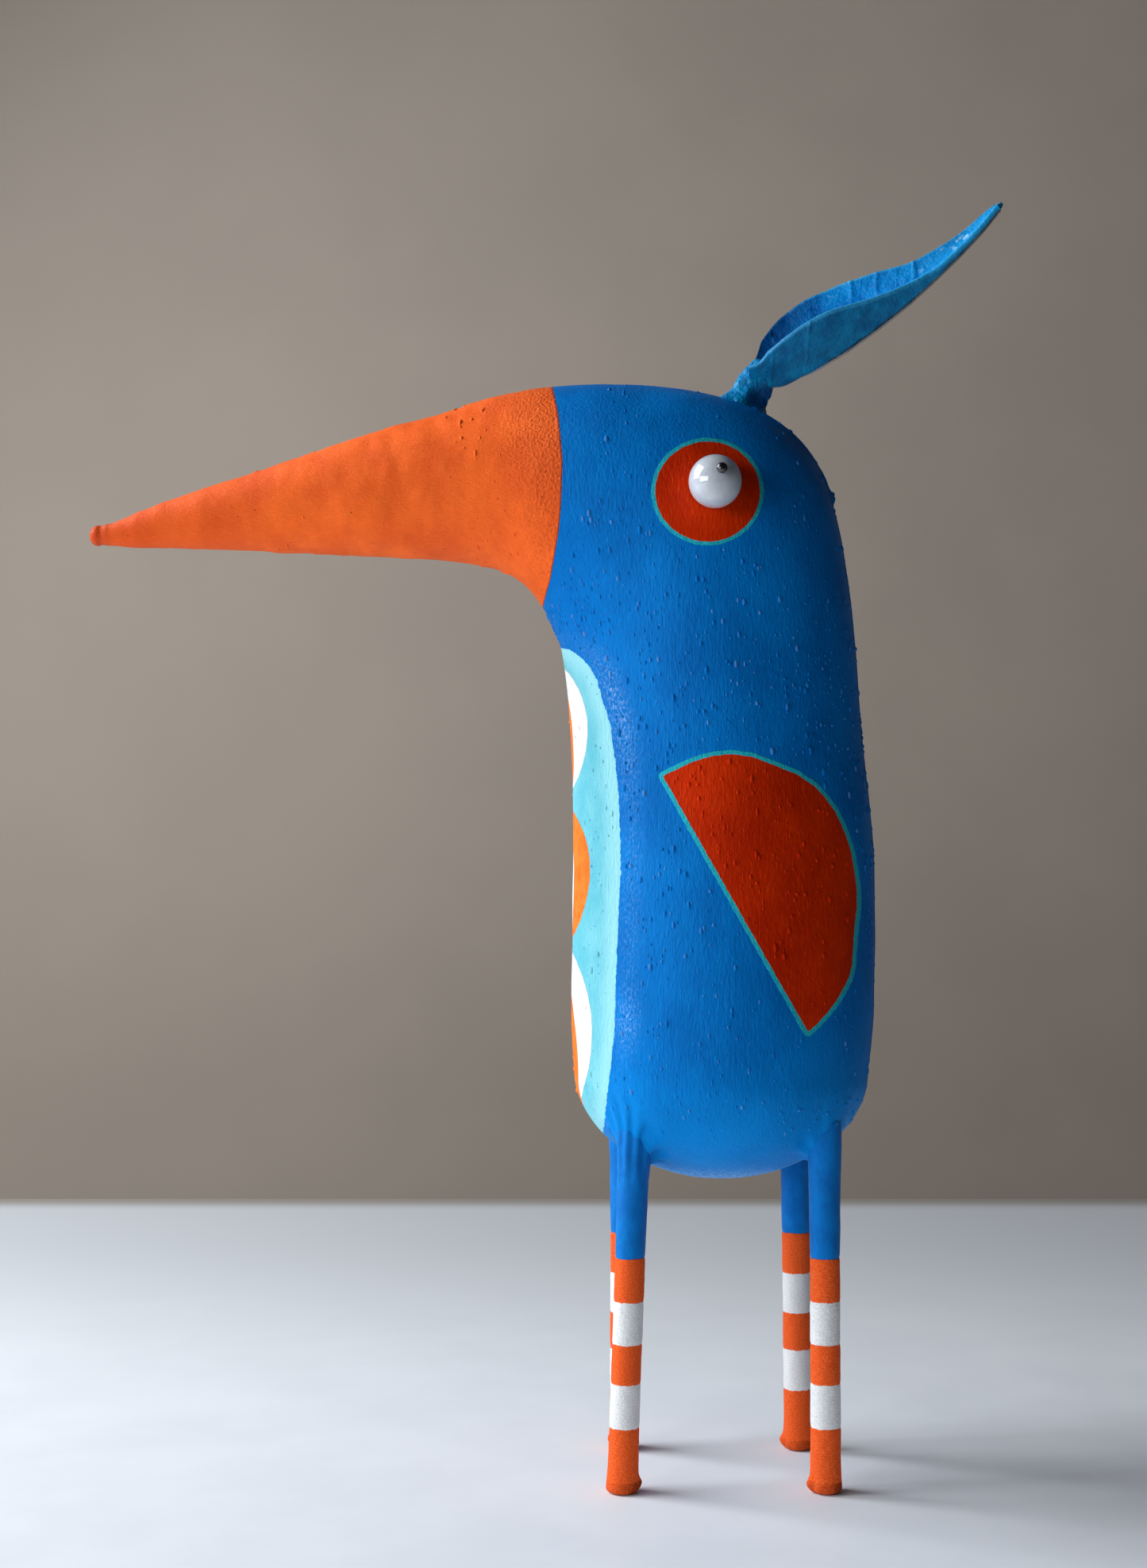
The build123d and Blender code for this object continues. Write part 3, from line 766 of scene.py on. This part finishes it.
def grains_on(name, points, normals, flow, fields, tries, wanted, seed):
    """Small domes on the skin. Each takes the paint of the place it sits on."""
    rng = np.random.default_rng(seed)
    faces, at_points, at_normals, cells = [], [], [], []
    for _ in range(tries):
        i = int(rng.integers(30, len(points) - 12))
        j = int(rng.integers(COLUMNS))
        at, up = points[i, j], normals[i, j]
        size, tall = rng.uniform(0.26, 0.46) + 0.4 * rng.random() ** 3, rng.uniform(0.7, 1.1)
        stretch = rng.uniform(1.0, 2.4)
        if rng.random() > wanted(i, j):
            continue
        side_way = np.cross((0, 0, 1.0), up)
        side_way /= np.linalg.norm(side_way) + 1e-9
        long_way = np.cross(up, side_way)
        start = len(at_points)
        for k in range(LEVELS + 1):
            b = k / LEVELS * math.pi / 2
            for s in range(SIDES if k < LEVELS else 1):
                w = s * 2 * math.pi / SIDES
                out = side_way * math.cos(b) * math.cos(w) + long_way * stretch * math.cos(b) * math.sin(w)
                at_points.append(at + size * out + up * (size * tall * math.sin(b) - 0.08))
                slope = side_way * math.cos(b) * math.cos(w) + long_way * math.cos(b) * math.sin(w) / stretch
                at_normals.append(slope + up * (math.sin(b) + 0.25))
        cells += [(i, j)] * (LEVELS * SIDES + 1)
        for k in range(LEVELS - 1):
            for s in range(SIDES):
                p0, p1 = start + k * SIDES + s, start + k * SIDES + (s + 1) % SIDES
                faces.append((p0, p1, p1 + SIDES, p0 + SIDES))
        top = start + LEVELS * SIDES
        faces += [(top - SIDES + s, top - SIDES + (s + 1) % SIDES, top) for s in range(SIDES)]
        faces.append(tuple(start + s for s in range(SIDES))[::-1])
    rows_used, columns_used = np.array(cells).T
    at_normals = np.array(at_normals)
    at_normals /= np.linalg.norm(at_normals, axis=1, keepdims=True)
    return make_piece(
        name, at_points, faces,
        {key: values[rows_used, columns_used] for key, values in fields.items()},
        {"flow": flow[rows_used, columns_used]}, at_normals,
    )


def body_wanted(i, j):
    at = BODY_POINTS[i, j]
    marks = {key: values[i, j] for key, values in BODY_FIELDS.items()}
    lines = min(abs(marks["wing"] + 1), abs(marks["eye"] + 1), abs(marks["belly"]), abs(marks["white"]))
    if lines < 2 or marks["eye"] > 0 or at[2] < 130:
        return 0.0
    return (0.35 + 0.65 * bell(at[2] - 270, 70)) * (0.3 if marks["belly"] > 0 else 1.0)


def beak_wanted(i, j):
    x = BEAK_POINTS[i, j, 0]
    return 0.05 * (x > -110) + 0.9 * bell(x - 4, 22)


# The grains are given 0.25 more of the lavender mark than the skin they sit on: a painted highlight on each
# grain.
grains = grains_on(
    "paste_grains", BODY_POINTS, BODY_NORMALS, BODY_FLOW,
    BODY_FIELDS | {"scuff_and_sheen": BODY_FIELDS["scuff_and_sheen"] + 0.25}, 4600, body_wanted, 11,
)
beak_grains = grains_on(
    "beak_grains", BEAK_POINTS, BEAK_NORMALS, BEAK_FLOW, {"from_tip": BEAK_POINTS[..., 0] - NUB_END},
    1500, beak_wanted, 12,
)

# ---- materials


class Look:
    """A material's nodes, built up as sockets. Lengths in the nodes are millimetres."""

    def __init__(self, name, **constants):
        self.material = bpy.data.materials.new(name)
        self.material.use_nodes = True
        self.tree = self.material.node_tree
        self.shader = self.tree.nodes["Principled BSDF"]
        for key, value in constants.items():
            self.shader.inputs[key.replace("_", " ")].default_value = value
        coordinates = self.tree.nodes.new("ShaderNodeTexCoord")
        self.mm = self.vector("SCALE", coordinates.outputs["Object"], scale=MM)

    def put(self, socket, value):
        if isinstance(value, bpy.types.NodeSocket):
            self.tree.links.new(value, socket)
        elif value is not None:
            socket.default_value = value

    def vector(self, op, a, b=None, scale=None):
        n = self.tree.nodes.new("ShaderNodeVectorMath")
        n.operation = op
        self.put(n.inputs[0], a)
        self.put(n.inputs[1], b)
        if scale is not None:
            self.put(n.inputs["Scale"], scale)
        return n.outputs[0]

    def math(self, op, a, b=None, clamp=False):
        n = self.tree.nodes.new("ShaderNodeMath")
        n.operation, n.use_clamp = op, clamp
        self.put(n.inputs[0], a)
        self.put(n.inputs[1], b)
        return n.outputs[0]

    def times(self, a, b, clamp=False):
        return self.math("MULTIPLY", a, b, clamp)

    def axis(self, vector, letter):
        n = self.tree.nodes.new("ShaderNodeSeparateXYZ")
        self.put(n.inputs[0], vector)
        return n.outputs[letter]

    def attribute(self, name, vector=False):
        n = self.tree.nodes.new("ShaderNodeAttribute")
        n.attribute_name = name
        return n.outputs["Vector" if vector else "Fac"]

    def stretched(self, coordinates, size):
        """Coordinates in which one unit is the given size in mm, one number or (x, y, z)."""
        size = size if isinstance(size, tuple) else (size,) * 3
        return self.vector("MULTIPLY", coordinates, tuple(1 / s for s in size))

    def noise(self, coordinates, size, detail=3.0, rough=0.55):
        n = self.tree.nodes.new("ShaderNodeTexNoise")
        self.put(n.inputs["Vector"], self.stretched(coordinates, size))
        for key, value in (("Scale", 1.0), ("Detail", detail), ("Roughness", rough)):
            n.inputs[key].default_value = value
        return n.outputs["Fac"]

    def cells(self, coordinates, size):
        n = self.tree.nodes.new("ShaderNodeTexVoronoi")
        self.put(n.inputs["Vector"], self.stretched(coordinates, size))
        n.inputs["Scale"].default_value = 1.0
        return n.outputs["Distance"]

    def span(self, value, low, high, to_low=0.0, to_high=1.0):
        n = self.tree.nodes.new("ShaderNodeMapRange")
        n.interpolation_type = "SMOOTHSTEP"
        self.put(n.inputs["Value"], value)
        for key, v in (("From Min", low), ("From Max", high), ("To Min", to_low), ("To Max", to_high)):
            n.inputs[key].default_value = v
        return n.outputs["Result"]

    def mix(self, factor, a, b, kind="MIX"):
        n = self.tree.nodes.new("ShaderNodeMix")
        n.data_type, n.blend_type = "RGBA", kind
        self.put(n.inputs["Factor"], factor)
        sockets = [s for s in n.inputs if s.type == "RGBA"]
        for socket, value in zip(sockets, (a, b)):
            self.put(socket, (*value, 1) if isinstance(value, tuple) else value)
        return [s for s in n.outputs if s.type == "RGBA"][0]

    def bump(self, height, distance, before=None):
        n = self.tree.nodes.new("ShaderNodeBump")
        n.inputs["Strength"].default_value = 1.0
        n.inputs["Distance"].default_value = distance / MM
        self.put(n.inputs["Height"], height)
        self.put(n.inputs["Normal"], before)
        return n.outputs["Normal"]

    def set(self, colour=None, roughness=None, normal=None):
        for key, value in (("Base Color", colour), ("Roughness", roughness), ("Normal", normal)):
            self.put(self.shader.inputs[key], value)
        return self.material


BLUE, BLUE_DEEP, BLUE_LIGHT = (0.0, 0.175, 0.56), (0.0, 0.125, 0.44), (0.0, 0.28, 0.72)
LAVENDER = (0.30, 0.52, 0.86)
TURQUOISE, TURQUOISE_DEEP = (0.16, 0.48, 0.56), (0.10, 0.41, 0.50)
RED_ORANGE, RED_DEEP = (0.60, 0.026, 0.0), (0.42, 0.014, 0.0)
ORANGE, ORANGE_DEEP, ORANGE_LIGHT = (0.92, 0.135, 0.014), (0.62, 0.06, 0.005), (1.0, 0.27, 0.07)
WHITE = (0.67, 0.675, 0.685)


def painted_skin():
    k = Look("painted_paper_skin", Specular_IOR_Level=0.04)
    flow = k.attribute("flow", vector=True)
    streak = k.noise(k.mm, (0.6, 0.6, 4.5), 3.0, 0.6)
    fibre = k.noise(k.mm, (0.26, 0.26, 1.5), 2.0, 0.6)
    cloud = k.noise(k.mm, (30, 30, 42), 4.0, 0.6)
    fine = k.noise(k.mm, 0.5, 2.0)
    wander = k.times(k.math("SUBTRACT", k.noise(k.mm, 2.4, 3.0, 0.65), 0.5), 0.9)

    def edge(name, at=0.0, soft=0.09, rough=1.0):
        moved = k.math("ADD", k.attribute(name), k.times(wander, rough))
        return k.span(moved, at - soft, at + soft)

    blue = k.mix(k.span(cloud, 0.32, 0.7), BLUE_DEEP, BLUE)
    blue = k.mix(k.times(k.span(streak, 0.5, 0.78), 0.35), blue, BLUE_LIGHT)
    blue = k.mix(k.times(k.span(fibre, 0.62, 0.8), 0.22), blue, BLUE_DEEP)
    # Lavender marks: scuffs in the paint and painted sheen.
    wear_and_sheen = k.times(k.attribute("scuff_and_sheen"), k.span(k.noise(flow, (0.8, 1.6, 5), 5.0, 0.75), 0.46, 0.66))
    blue = k.mix(k.times(wear_and_sheen, 0.85, clamp=True), blue, LAVENDER)
    # Painted light: the blue grows lighter toward the bottom of the body, below 168 mm, for light thrown up
    # from the table.
    blue = k.mix(k.times(k.span(k.axis(k.mm, "Z"), 168.0, 128.0), 0.35), blue, (0.0, 0.26, 0.70))
    turquoise = k.mix(k.span(k.noise(k.mm, (9, 9, 14), 4.0), 0.3, 0.72), TURQUOISE_DEEP, TURQUOISE)
    by_edge = k.times(k.span(k.attribute("belly"), 8.0, 1.0), k.span(fine, 0.2, 0.5, 0.5, 0.9))
    turquoise = k.mix(by_edge, turquoise, (0.28, 0.62, 0.68))
    turquoise = k.mix(k.times(k.span(fine, 0.55, 0.8), 0.3), turquoise, (0.42, 0.82, 0.90))
    specks = k.times(k.span(k.cells(k.mm, 4.2), 0.10, 0.05), 0.8)
    turquoise = k.mix(specks, turquoise, (0.02, 0.14, 0.36))
    white = k.mix(k.span(k.noise(k.mm, 7, 4.0), 0.35, 0.75), (0.62, 0.635, 0.655), WHITE)
    spot = k.mix(k.span(k.noise(k.mm, 6, 4.0), 0.3, 0.7), (0.80, 0.13, 0.016), (0.95, 0.2, 0.03))
    red = k.mix(k.span(cloud, 0.35, 0.68), RED_DEEP, RED_ORANGE)
    red = k.mix(k.times(k.span(streak, 0.52, 0.75), 0.3), red, (0.8, 0.085, 0.006))
    teal = k.mix(k.span(fine, 0.35, 0.7), (0.006, 0.34, 0.44), (0.03, 0.50, 0.57))
    colour = k.mix(edge("belly", soft=0.16, rough=1.5), blue, turquoise)
    colour = k.mix(edge("white"), colour, white)
    colour = k.mix(edge("orange"), colour, spot)
    colour = k.mix(edge("eye", -1.65), colour, teal)
    colour = k.mix(edge("eye", -0.15, rough=0.8), colour, red)
    colour = k.mix(edge("wing", -1.75), colour, teal)
    colour = k.mix(edge("wing", -0.1, rough=0.9), colour, red)
    rough = k.span(streak, 0.3, 0.75, 0.50, 0.36)
    rough = k.math("ADD", rough, k.times(k.math("MAXIMUM", edge("white"), edge("belly")), 0.16))
    height = k.math("ADD", k.times(streak, 0.6), k.times(fibre, 0.6))
    patch_calm = k.math("SUBTRACT", 1.0, k.times(k.math("MAXIMUM", edge("white"), edge("orange")), 0.7))
    normal = k.bump(k.times(height, patch_calm), 0.26)
    normal = k.bump(k.times(k.noise(k.mm, (1.1, 1.1, 3.4), 3.0), patch_calm), 0.34, normal)
    dots = k.span(k.cells(flow, (2.6, 4.4, 5)), 0.2, 0.04)
    some = k.span(k.noise(k.mm, (11, 11, 15), 3.0), 0.42, 0.6)
    normal = k.bump(k.times(dots, some), 0.08, normal)
    lines = k.math("ADD", edge("wing", -1.75), edge("eye", -1.65))
    normal = k.bump(lines, 0.12, normal)
    return k.set(colour, rough, normal)


def painted_beak():
    k = Look("painted_paper_beak", Specular_IOR_Level=0.1)
    flow = k.attribute("flow", vector=True)
    from_tip = k.attribute("from_tip")
    along = k.axis(flow, "Y")
    grain = k.noise(flow, (0.55, 3.4, 5), 4.0, 0.62)
    cloud = k.noise(k.mm, (16, 22, 22), 4.0, 0.6)
    stipple = k.noise(k.mm, 1.1, 3.0, 0.6)
    near_edge = k.span(along, 26.0, 3.0)
    colour = k.mix(k.span(cloud, 0.32, 0.7), ORANGE_DEEP, ORANGE)
    colour = k.mix(0.45, colour, ORANGE)
    colour = k.mix(k.times(k.span(grain, 0.52, 0.8), 0.4), colour, ORANGE_LIGHT)
    pits = k.times(k.span(stipple, 0.5, 0.3), k.times(near_edge, 0.35))
    colour = k.mix(pits, colour, (0.42, 0.035, 0.004))
    specks = k.span(k.cells(k.mm, 5.5), 0.075, 0.03)
    colour = k.mix(k.times(specks, 0.7), colour, (0.30, 0.04, 0.01))
    # Painted shade: the orange darkens over the last 90 mm toward the tip.
    colour = k.mix(k.times(k.span(from_tip, 90.0, 10.0), 0.5), colour, ORANGE_DEEP)
    line = k.times(k.span(along, 1.1, 0.2), k.span(stipple, 0.3, 0.55))
    colour = k.mix(k.times(line, 0.85), colour, (0.16, 0.02, 0.012))
    tip = k.span(from_tip, 12.0, 3.0)
    colour = k.mix(k.times(tip, 0.55), colour, (0.46, 0.04, 0.008))
    rough = k.math("SUBTRACT", k.span(grain, 0.3, 0.75, 0.52, 0.38), k.times(tip, 0.24))
    normal = k.bump(grain, 0.34)
    normal = k.bump(k.times(stipple, k.math("ADD", k.times(near_edge, 0.9), 0.22)), 0.85, normal)
    normal = k.bump(line, 0.25, normal)
    normal = k.bump(specks, 0.2, normal)
    return k.set(colour, rough, normal)


def painted_leaf(name, rough_paste):
    k = Look(name, Specular_IOR_Level=0.12, Coat_Weight=0.08, Coat_Roughness=0.12)
    flow = k.attribute("flow", vector=True)
    near, inner, from_rim = k.attribute("near"), k.attribute("inner"), k.attribute("from_rim")
    cloud = k.noise(k.mm, 9, 4.0, 0.62)
    hatch = k.noise(flow, (0.9, 0.5, 5), 3.0, 0.6)
    paste = k.noise(k.mm, 1.3, 3.0, 0.6)
    colour = k.mix(k.span(cloud, 0.3, 0.7), (0.0, 0.17, 0.52), (0.0, 0.32, 0.78))
    teal = k.mix(k.span(cloud, 0.35, 0.7), (0.0, 0.13, 0.32), (0.0, 0.25, 0.50))
    # Painted shade: the near blade's outer face, which looks down and away from the light, is painted a darker
    # teal.
    outer_near = k.times(near, k.math("SUBTRACT", 1.0, inner))
    colour = k.mix(k.times(outer_near, 0.8), colour, teal)
    # Painted highlight: a lighter blue within about a millimetre of each rim, where the rims catch the light.
    colour = k.mix(k.times(k.span(from_rim, 1.3, 0.2), 0.7), colour, (0.05, 0.42, 0.78))
    place_x = k.axis(k.mm, "X")
    painted_tip_light = k.span(place_x, 118.0, 150.0)
    # Light blue patches over the paste: wear, and painted highlights off its glossy bumps; fewer on the near
    # blade's outer face.
    wear_and_sheen = k.times(k.span(paste, 0.58, 0.74), k.span(cloud, 0.46, 0.6))
    wear_and_sheen = k.times(wear_and_sheen, k.math("SUBTRACT", 1.0, k.times(outer_near, 0.75)))
    colour = k.mix(k.times(wear_and_sheen, 0.5), colour, (0.30, 0.60, 0.86))
    # Painted light: the leaf grows lighter toward its tip.
    colour = k.mix(k.times(painted_tip_light, 0.5), colour, (0.01, 0.36, 0.78))
    # Painted shade: the trough's inside darkens toward the leaf's base, and the stem's crease with it.
    hollow_shade = k.times(inner, k.span(place_x, 114.0, 86.0))
    colour = k.mix(k.times(hollow_shade, 0.85), colour, (0.0, 0.05, 0.20))
    glint = k.times(k.span(place_x, 138.0, 146.0), k.span(place_x, 166.0, 160.0))
    glint = k.times(glint, k.span(from_rim, 0.8, 1.6))
    glint = k.times(glint, k.span(k.noise(k.mm, 4.5, 3.0, 0.6), 0.55, 0.63))
    colour = k.mix(k.times(glint, 0.75), colour, (0.42, 0.66, 0.86))
    rough = k.span(paste, 0.35, 0.7, 0.2, 0.36)
    normal = k.bump(hatch, 0.3 if not rough_paste else 0.15)
    normal = k.bump(paste, 0.9 if rough_paste else 0.45, normal)
    normal = k.bump(cloud, 0.8, normal)
    return k.set(colour, rough, normal)


def leg_paper():
    k = Look("felted_leg_paper", Specular_IOR_Level=0.06, Sheen_Weight=0.03, Sheen_Roughness=0.5)
    flow, height = k.attribute("flow", vector=True), k.attribute("height")
    wander = k.times(k.math("SUBTRACT", k.noise(flow, (2.2, 2.2, 9), 4.0, 0.7), 0.5), 1.3)
    z = k.math("ADD", height, wander)
    felt = k.noise(flow, (0.9, 0.35, 9), 4.0, 0.7)
    nap = k.noise(flow, (0.35, 0.5, 9), 3.0, 0.7)
    cloud = k.noise(flow, (5, 9, 9), 4.0, 0.6)
    orange = k.mix(k.span(felt, 0.36, 0.66), (0.82, 0.075, 0.011), (1.0, 0.17, 0.03))
    orange = k.mix(k.times(k.span(nap, 0.58, 0.8), 0.45), orange, (0.95, 0.26, 0.09))
    white = k.mix(k.span(felt, 0.34, 0.62), (0.72, 0.74, 0.76), (0.92, 0.93, 0.94))
    blue = k.mix(k.span(cloud, 0.32, 0.7), BLUE_DEEP, BLUE)
    blue = k.mix(k.times(k.span(nap, 0.6, 0.8), 0.35), blue, BLUE_LIGHT)

    def above(level):
        return k.span(z, level - 0.15, level + 0.15)

    colour = k.mix(above(BANDS[0]), orange, white)
    for level, next_colour in zip(BANDS[1:], (orange, white, orange, blue)):
        colour = k.mix(above(level), colour, next_colour)
    # The lowest few millimetres of each leg are darkened in patches.
    darker_at_foot = k.times(k.span(height, 5.0, 0.5), k.span(cloud, 0.4, 0.6))
    colour = k.mix(k.times(darker_at_foot, 0.35), colour, (0.22, 0.03, 0.01))
    upper = above(BANDS[-1])
    rough = k.math("SUBTRACT", 0.86, k.times(upper, 0.40))
    soft = k.math("SUBTRACT", 1.0, k.times(upper, 0.55))
    normal = k.bump(k.times(felt, soft), 0.55)
    normal = k.bump(k.times(nap, soft), 0.3, normal)
    return k.set(colour, rough, normal)


def bead_glass():
    k = Look("white_glass_bead", Specular_IOR_Level=0.55, Coat_Weight=0.6, Coat_Roughness=0.03)
    cloud = k.noise(k.mm, 5, 3.0)
    colour = k.mix(k.span(cloud, 0.35, 0.7), (0.43, 0.46, 0.51), (0.50, 0.53, 0.58))
    marks = k.noise(k.mm, (0.4, 3, 0.4), 3.0, 0.7)
    colour = k.mix(k.times(k.span(marks, 0.68, 0.78), 0.25), colour, (0.55, 0.57, 0.6))
    return k.set(colour, k.span(marks, 0.4, 0.75, 0.07, 0.16), k.bump(cloud, 0.05))


def pin_glass():
    k = Look("black_pin_glass", Specular_IOR_Level=0.6, Coat_Weight=0.5, Coat_Roughness=0.05)
    speck = k.noise(k.mm, 0.6, 3.0)
    colour = k.mix(k.span(speck, 0.55, 0.75), (0.006, 0.006, 0.008), (0.03, 0.03, 0.035))
    return k.set(colour, k.span(speck, 0.3, 0.7, 0.12, 0.26), k.bump(speck, 0.04))


def bare_wood():
    k = Look("plain_pine", Specular_IOR_Level=0.3)
    rings = k.noise(k.mm, (2.0, 2.0, 46), 4.0, 0.6)
    pores = k.noise(k.mm, (0.4, 0.4, 7), 2.0)
    colour = k.mix(k.span(rings, 0.35, 0.66), (0.42, 0.25, 0.11), (0.66, 0.46, 0.25))
    colour = k.mix(k.times(k.span(pores, 0.58, 0.75), 0.5), colour, (0.28, 0.15, 0.07))
    return k.set(colour, k.span(rings, 0.3, 0.7, 0.72, 0.55), k.bump(pores, 0.15))


def cardboard():
    k = Look("corrugated_cardboard", Specular_IOR_Level=0.2)
    flutes = k.noise(k.mm, (3.0, 60, 60), 1.0)
    fibre = k.noise(k.mm, (0.7, 2.0, 0.7), 3.0)
    colour = k.mix(k.span(fibre, 0.35, 0.68), (0.30, 0.19, 0.10), (0.46, 0.31, 0.18))
    return k.set(colour, k.span(fibre, 0.3, 0.7, 0.9, 0.78), k.bump(flutes, 0.3, k.bump(fibre, 0.15)))


def wire_steel():
    k = Look("drawn_steel_wire", Metallic=1.0)
    drawn = k.noise(k.mm, (0.3, 0.3, 4), 3.0)
    colour = k.mix(k.span(drawn, 0.35, 0.7), (0.36, 0.36, 0.37), (0.58, 0.58, 0.60))
    return k.set(colour, k.span(drawn, 0.3, 0.7, 0.25, 0.42), k.bump(drawn, 0.03))


def dress(obj, material):
    obj.data.materials.clear()
    obj.data.materials.append(material)


skin_look = painted_skin()
leaf_look, stem_look = painted_leaf("painted_leaf", False), painted_leaf("painted_paste", True)
for obj in (*body_halves.values(), grains):
    dress(obj, skin_look)
beak_look = painted_beak()
dress(beak, beak_look)
dress(beak_grains, beak_look)
dress(leaf, leaf_look)
dress(stem_piece, stem_look)
leg_look, bead_look, pin_look = leg_paper(), bead_glass(), pin_glass()
for name in LEG_NAMES:
    dress(bpy.data.objects["leg_cover_" + name], leg_look)
for side in EYES:
    dress(bpy.data.objects["eye_ball_" + side], bead_look)
    dress(bpy.data.objects["pin_head_" + side], pin_look)
wood_look, card_look, steel_look = bare_wood(), cardboard(), wire_steel()
for name, obj in NODES.items():
    if name.endswith("_former"):
        dress(obj, card_look)
    elif name.startswith("eye_pin") or name == "crest_midrib":
        dress(obj, steel_look)
    else:
        dress(obj, wood_look)

# ---- table, backdrop, light and camera
TABLE_EDGE, WALL = 0.668, 1.6


def sheet(name, profile, across, colour, roughness):
    """A plain sheet behind or under the figure: a profile of (y, z) in metres, run from side to side."""
    me = bpy.data.meshes.new(name)
    points = [(x, y, z) for y, z in profile for x in across]
    me.from_pydata(points, [], grid_faces(len(profile), len(across)))
    me.polygons.foreach_set("use_smooth", [True] * len(me.polygons))
    obj = bpy.data.objects.new(name, me)
    bpy.context.scene.collection.objects.link(obj)
    obj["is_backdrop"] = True
    k = Look(name, Specular_IOR_Level=0.15)
    k.set(colour(k), roughness)
    dress(obj, k.material)


def table_colour(k):
    back = k.axis(k.mm, "Y")
    pale = k.mix(k.span(k.noise(k.mm, 60, 3.0), 0.3, 0.7), (0.74, 0.78, 0.83), (0.78, 0.82, 0.87))
    # Painted shade: the table darkens toward the back.
    pale = k.mix(k.span(back, 60, 520), pale, (0.58, 0.61, 0.65))
    return k.mix(k.span(back, 618, 664), pale, (0.31, 0.28, 0.25))


def wall_colour(k):
    plain = k.mix(k.span(k.noise(k.mm, 190, 3.0), 0.3, 0.7), (0.43, 0.365, 0.31), (0.46, 0.39, 0.33))
    # Painted light: the wall is lighter toward the left.
    return k.mix(k.span(k.axis(k.mm, "X"), -900, 500), k.mix(0.35, plain, (0.82, 0.70, 0.58)), plain)


WIDE = np.linspace(-4, 4, 9)
sheet("table", [(y, -0.0002) for y in (-4.0, -1.0, 0.0, 0.3, TABLE_EDGE)], WIDE, table_colour, 0.5)
sheet("wall", [(WALL, z) for z in (-1.5, 0.0, 1.5, 4.0)], WIDE, wall_colour, 0.9)


def area_light(name, at, toward, size, power, colour):
    light = bpy.data.lights.new(name, "AREA")
    light.shape, light.size, light.size_y = "RECTANGLE", size[0], size[1]
    light.energy, light.color = power, colour
    obj = bpy.data.objects.new(name, light)
    bpy.context.scene.collection.objects.link(obj)
    obj.location = at
    obj.rotation_euler = (Vector(toward) - Vector(at)).to_track_quat("-Z", "Y").to_euler()
    obj.visible_camera = False


area_light("window", (-1.15, 0.12, 1.02), (0.0, 0.0, 0.2), (1.0, 1.0), 31.5, (0.94, 0.97, 1.0))
area_light("room", (-1.25, -1.0, 0.48), (0.0, 0.0, 0.2), (1.1, 0.55), 14.0, (0.96, 0.98, 1.0))
area_light("table_glow", (-0.12, -0.2, 0.004), (-0.12, -0.2, 1.0), (0.7, 0.5), 0.4, (1.0, 0.99, 0.98))
world = bpy.data.worlds.new("studio")
world.use_nodes = True
sky = world.node_tree.nodes["Background"].inputs
sky["Color"].default_value, sky["Strength"].default_value = (0.80, 0.86, 0.95, 1), 0.025
bpy.context.scene.world = world

camera = bpy.data.cameras.new("camera")
camera.sensor_width, camera.sensor_fit = 36.0, "AUTO"
camera.lens, camera.shift_y, camera.clip_start = 48.85, 0.057, 0.01
camera_obj = bpy.data.objects.new("camera", camera)
camera_obj.location = SIGHT / MM
camera_obj.rotation_euler = (math.pi / 2, 0, 0)
bpy.context.scene.collection.objects.link(camera_obj)
bpy.context.scene.camera = camera_obj
bpy.context.scene.view_settings.view_transform = "Standard"

low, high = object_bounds()
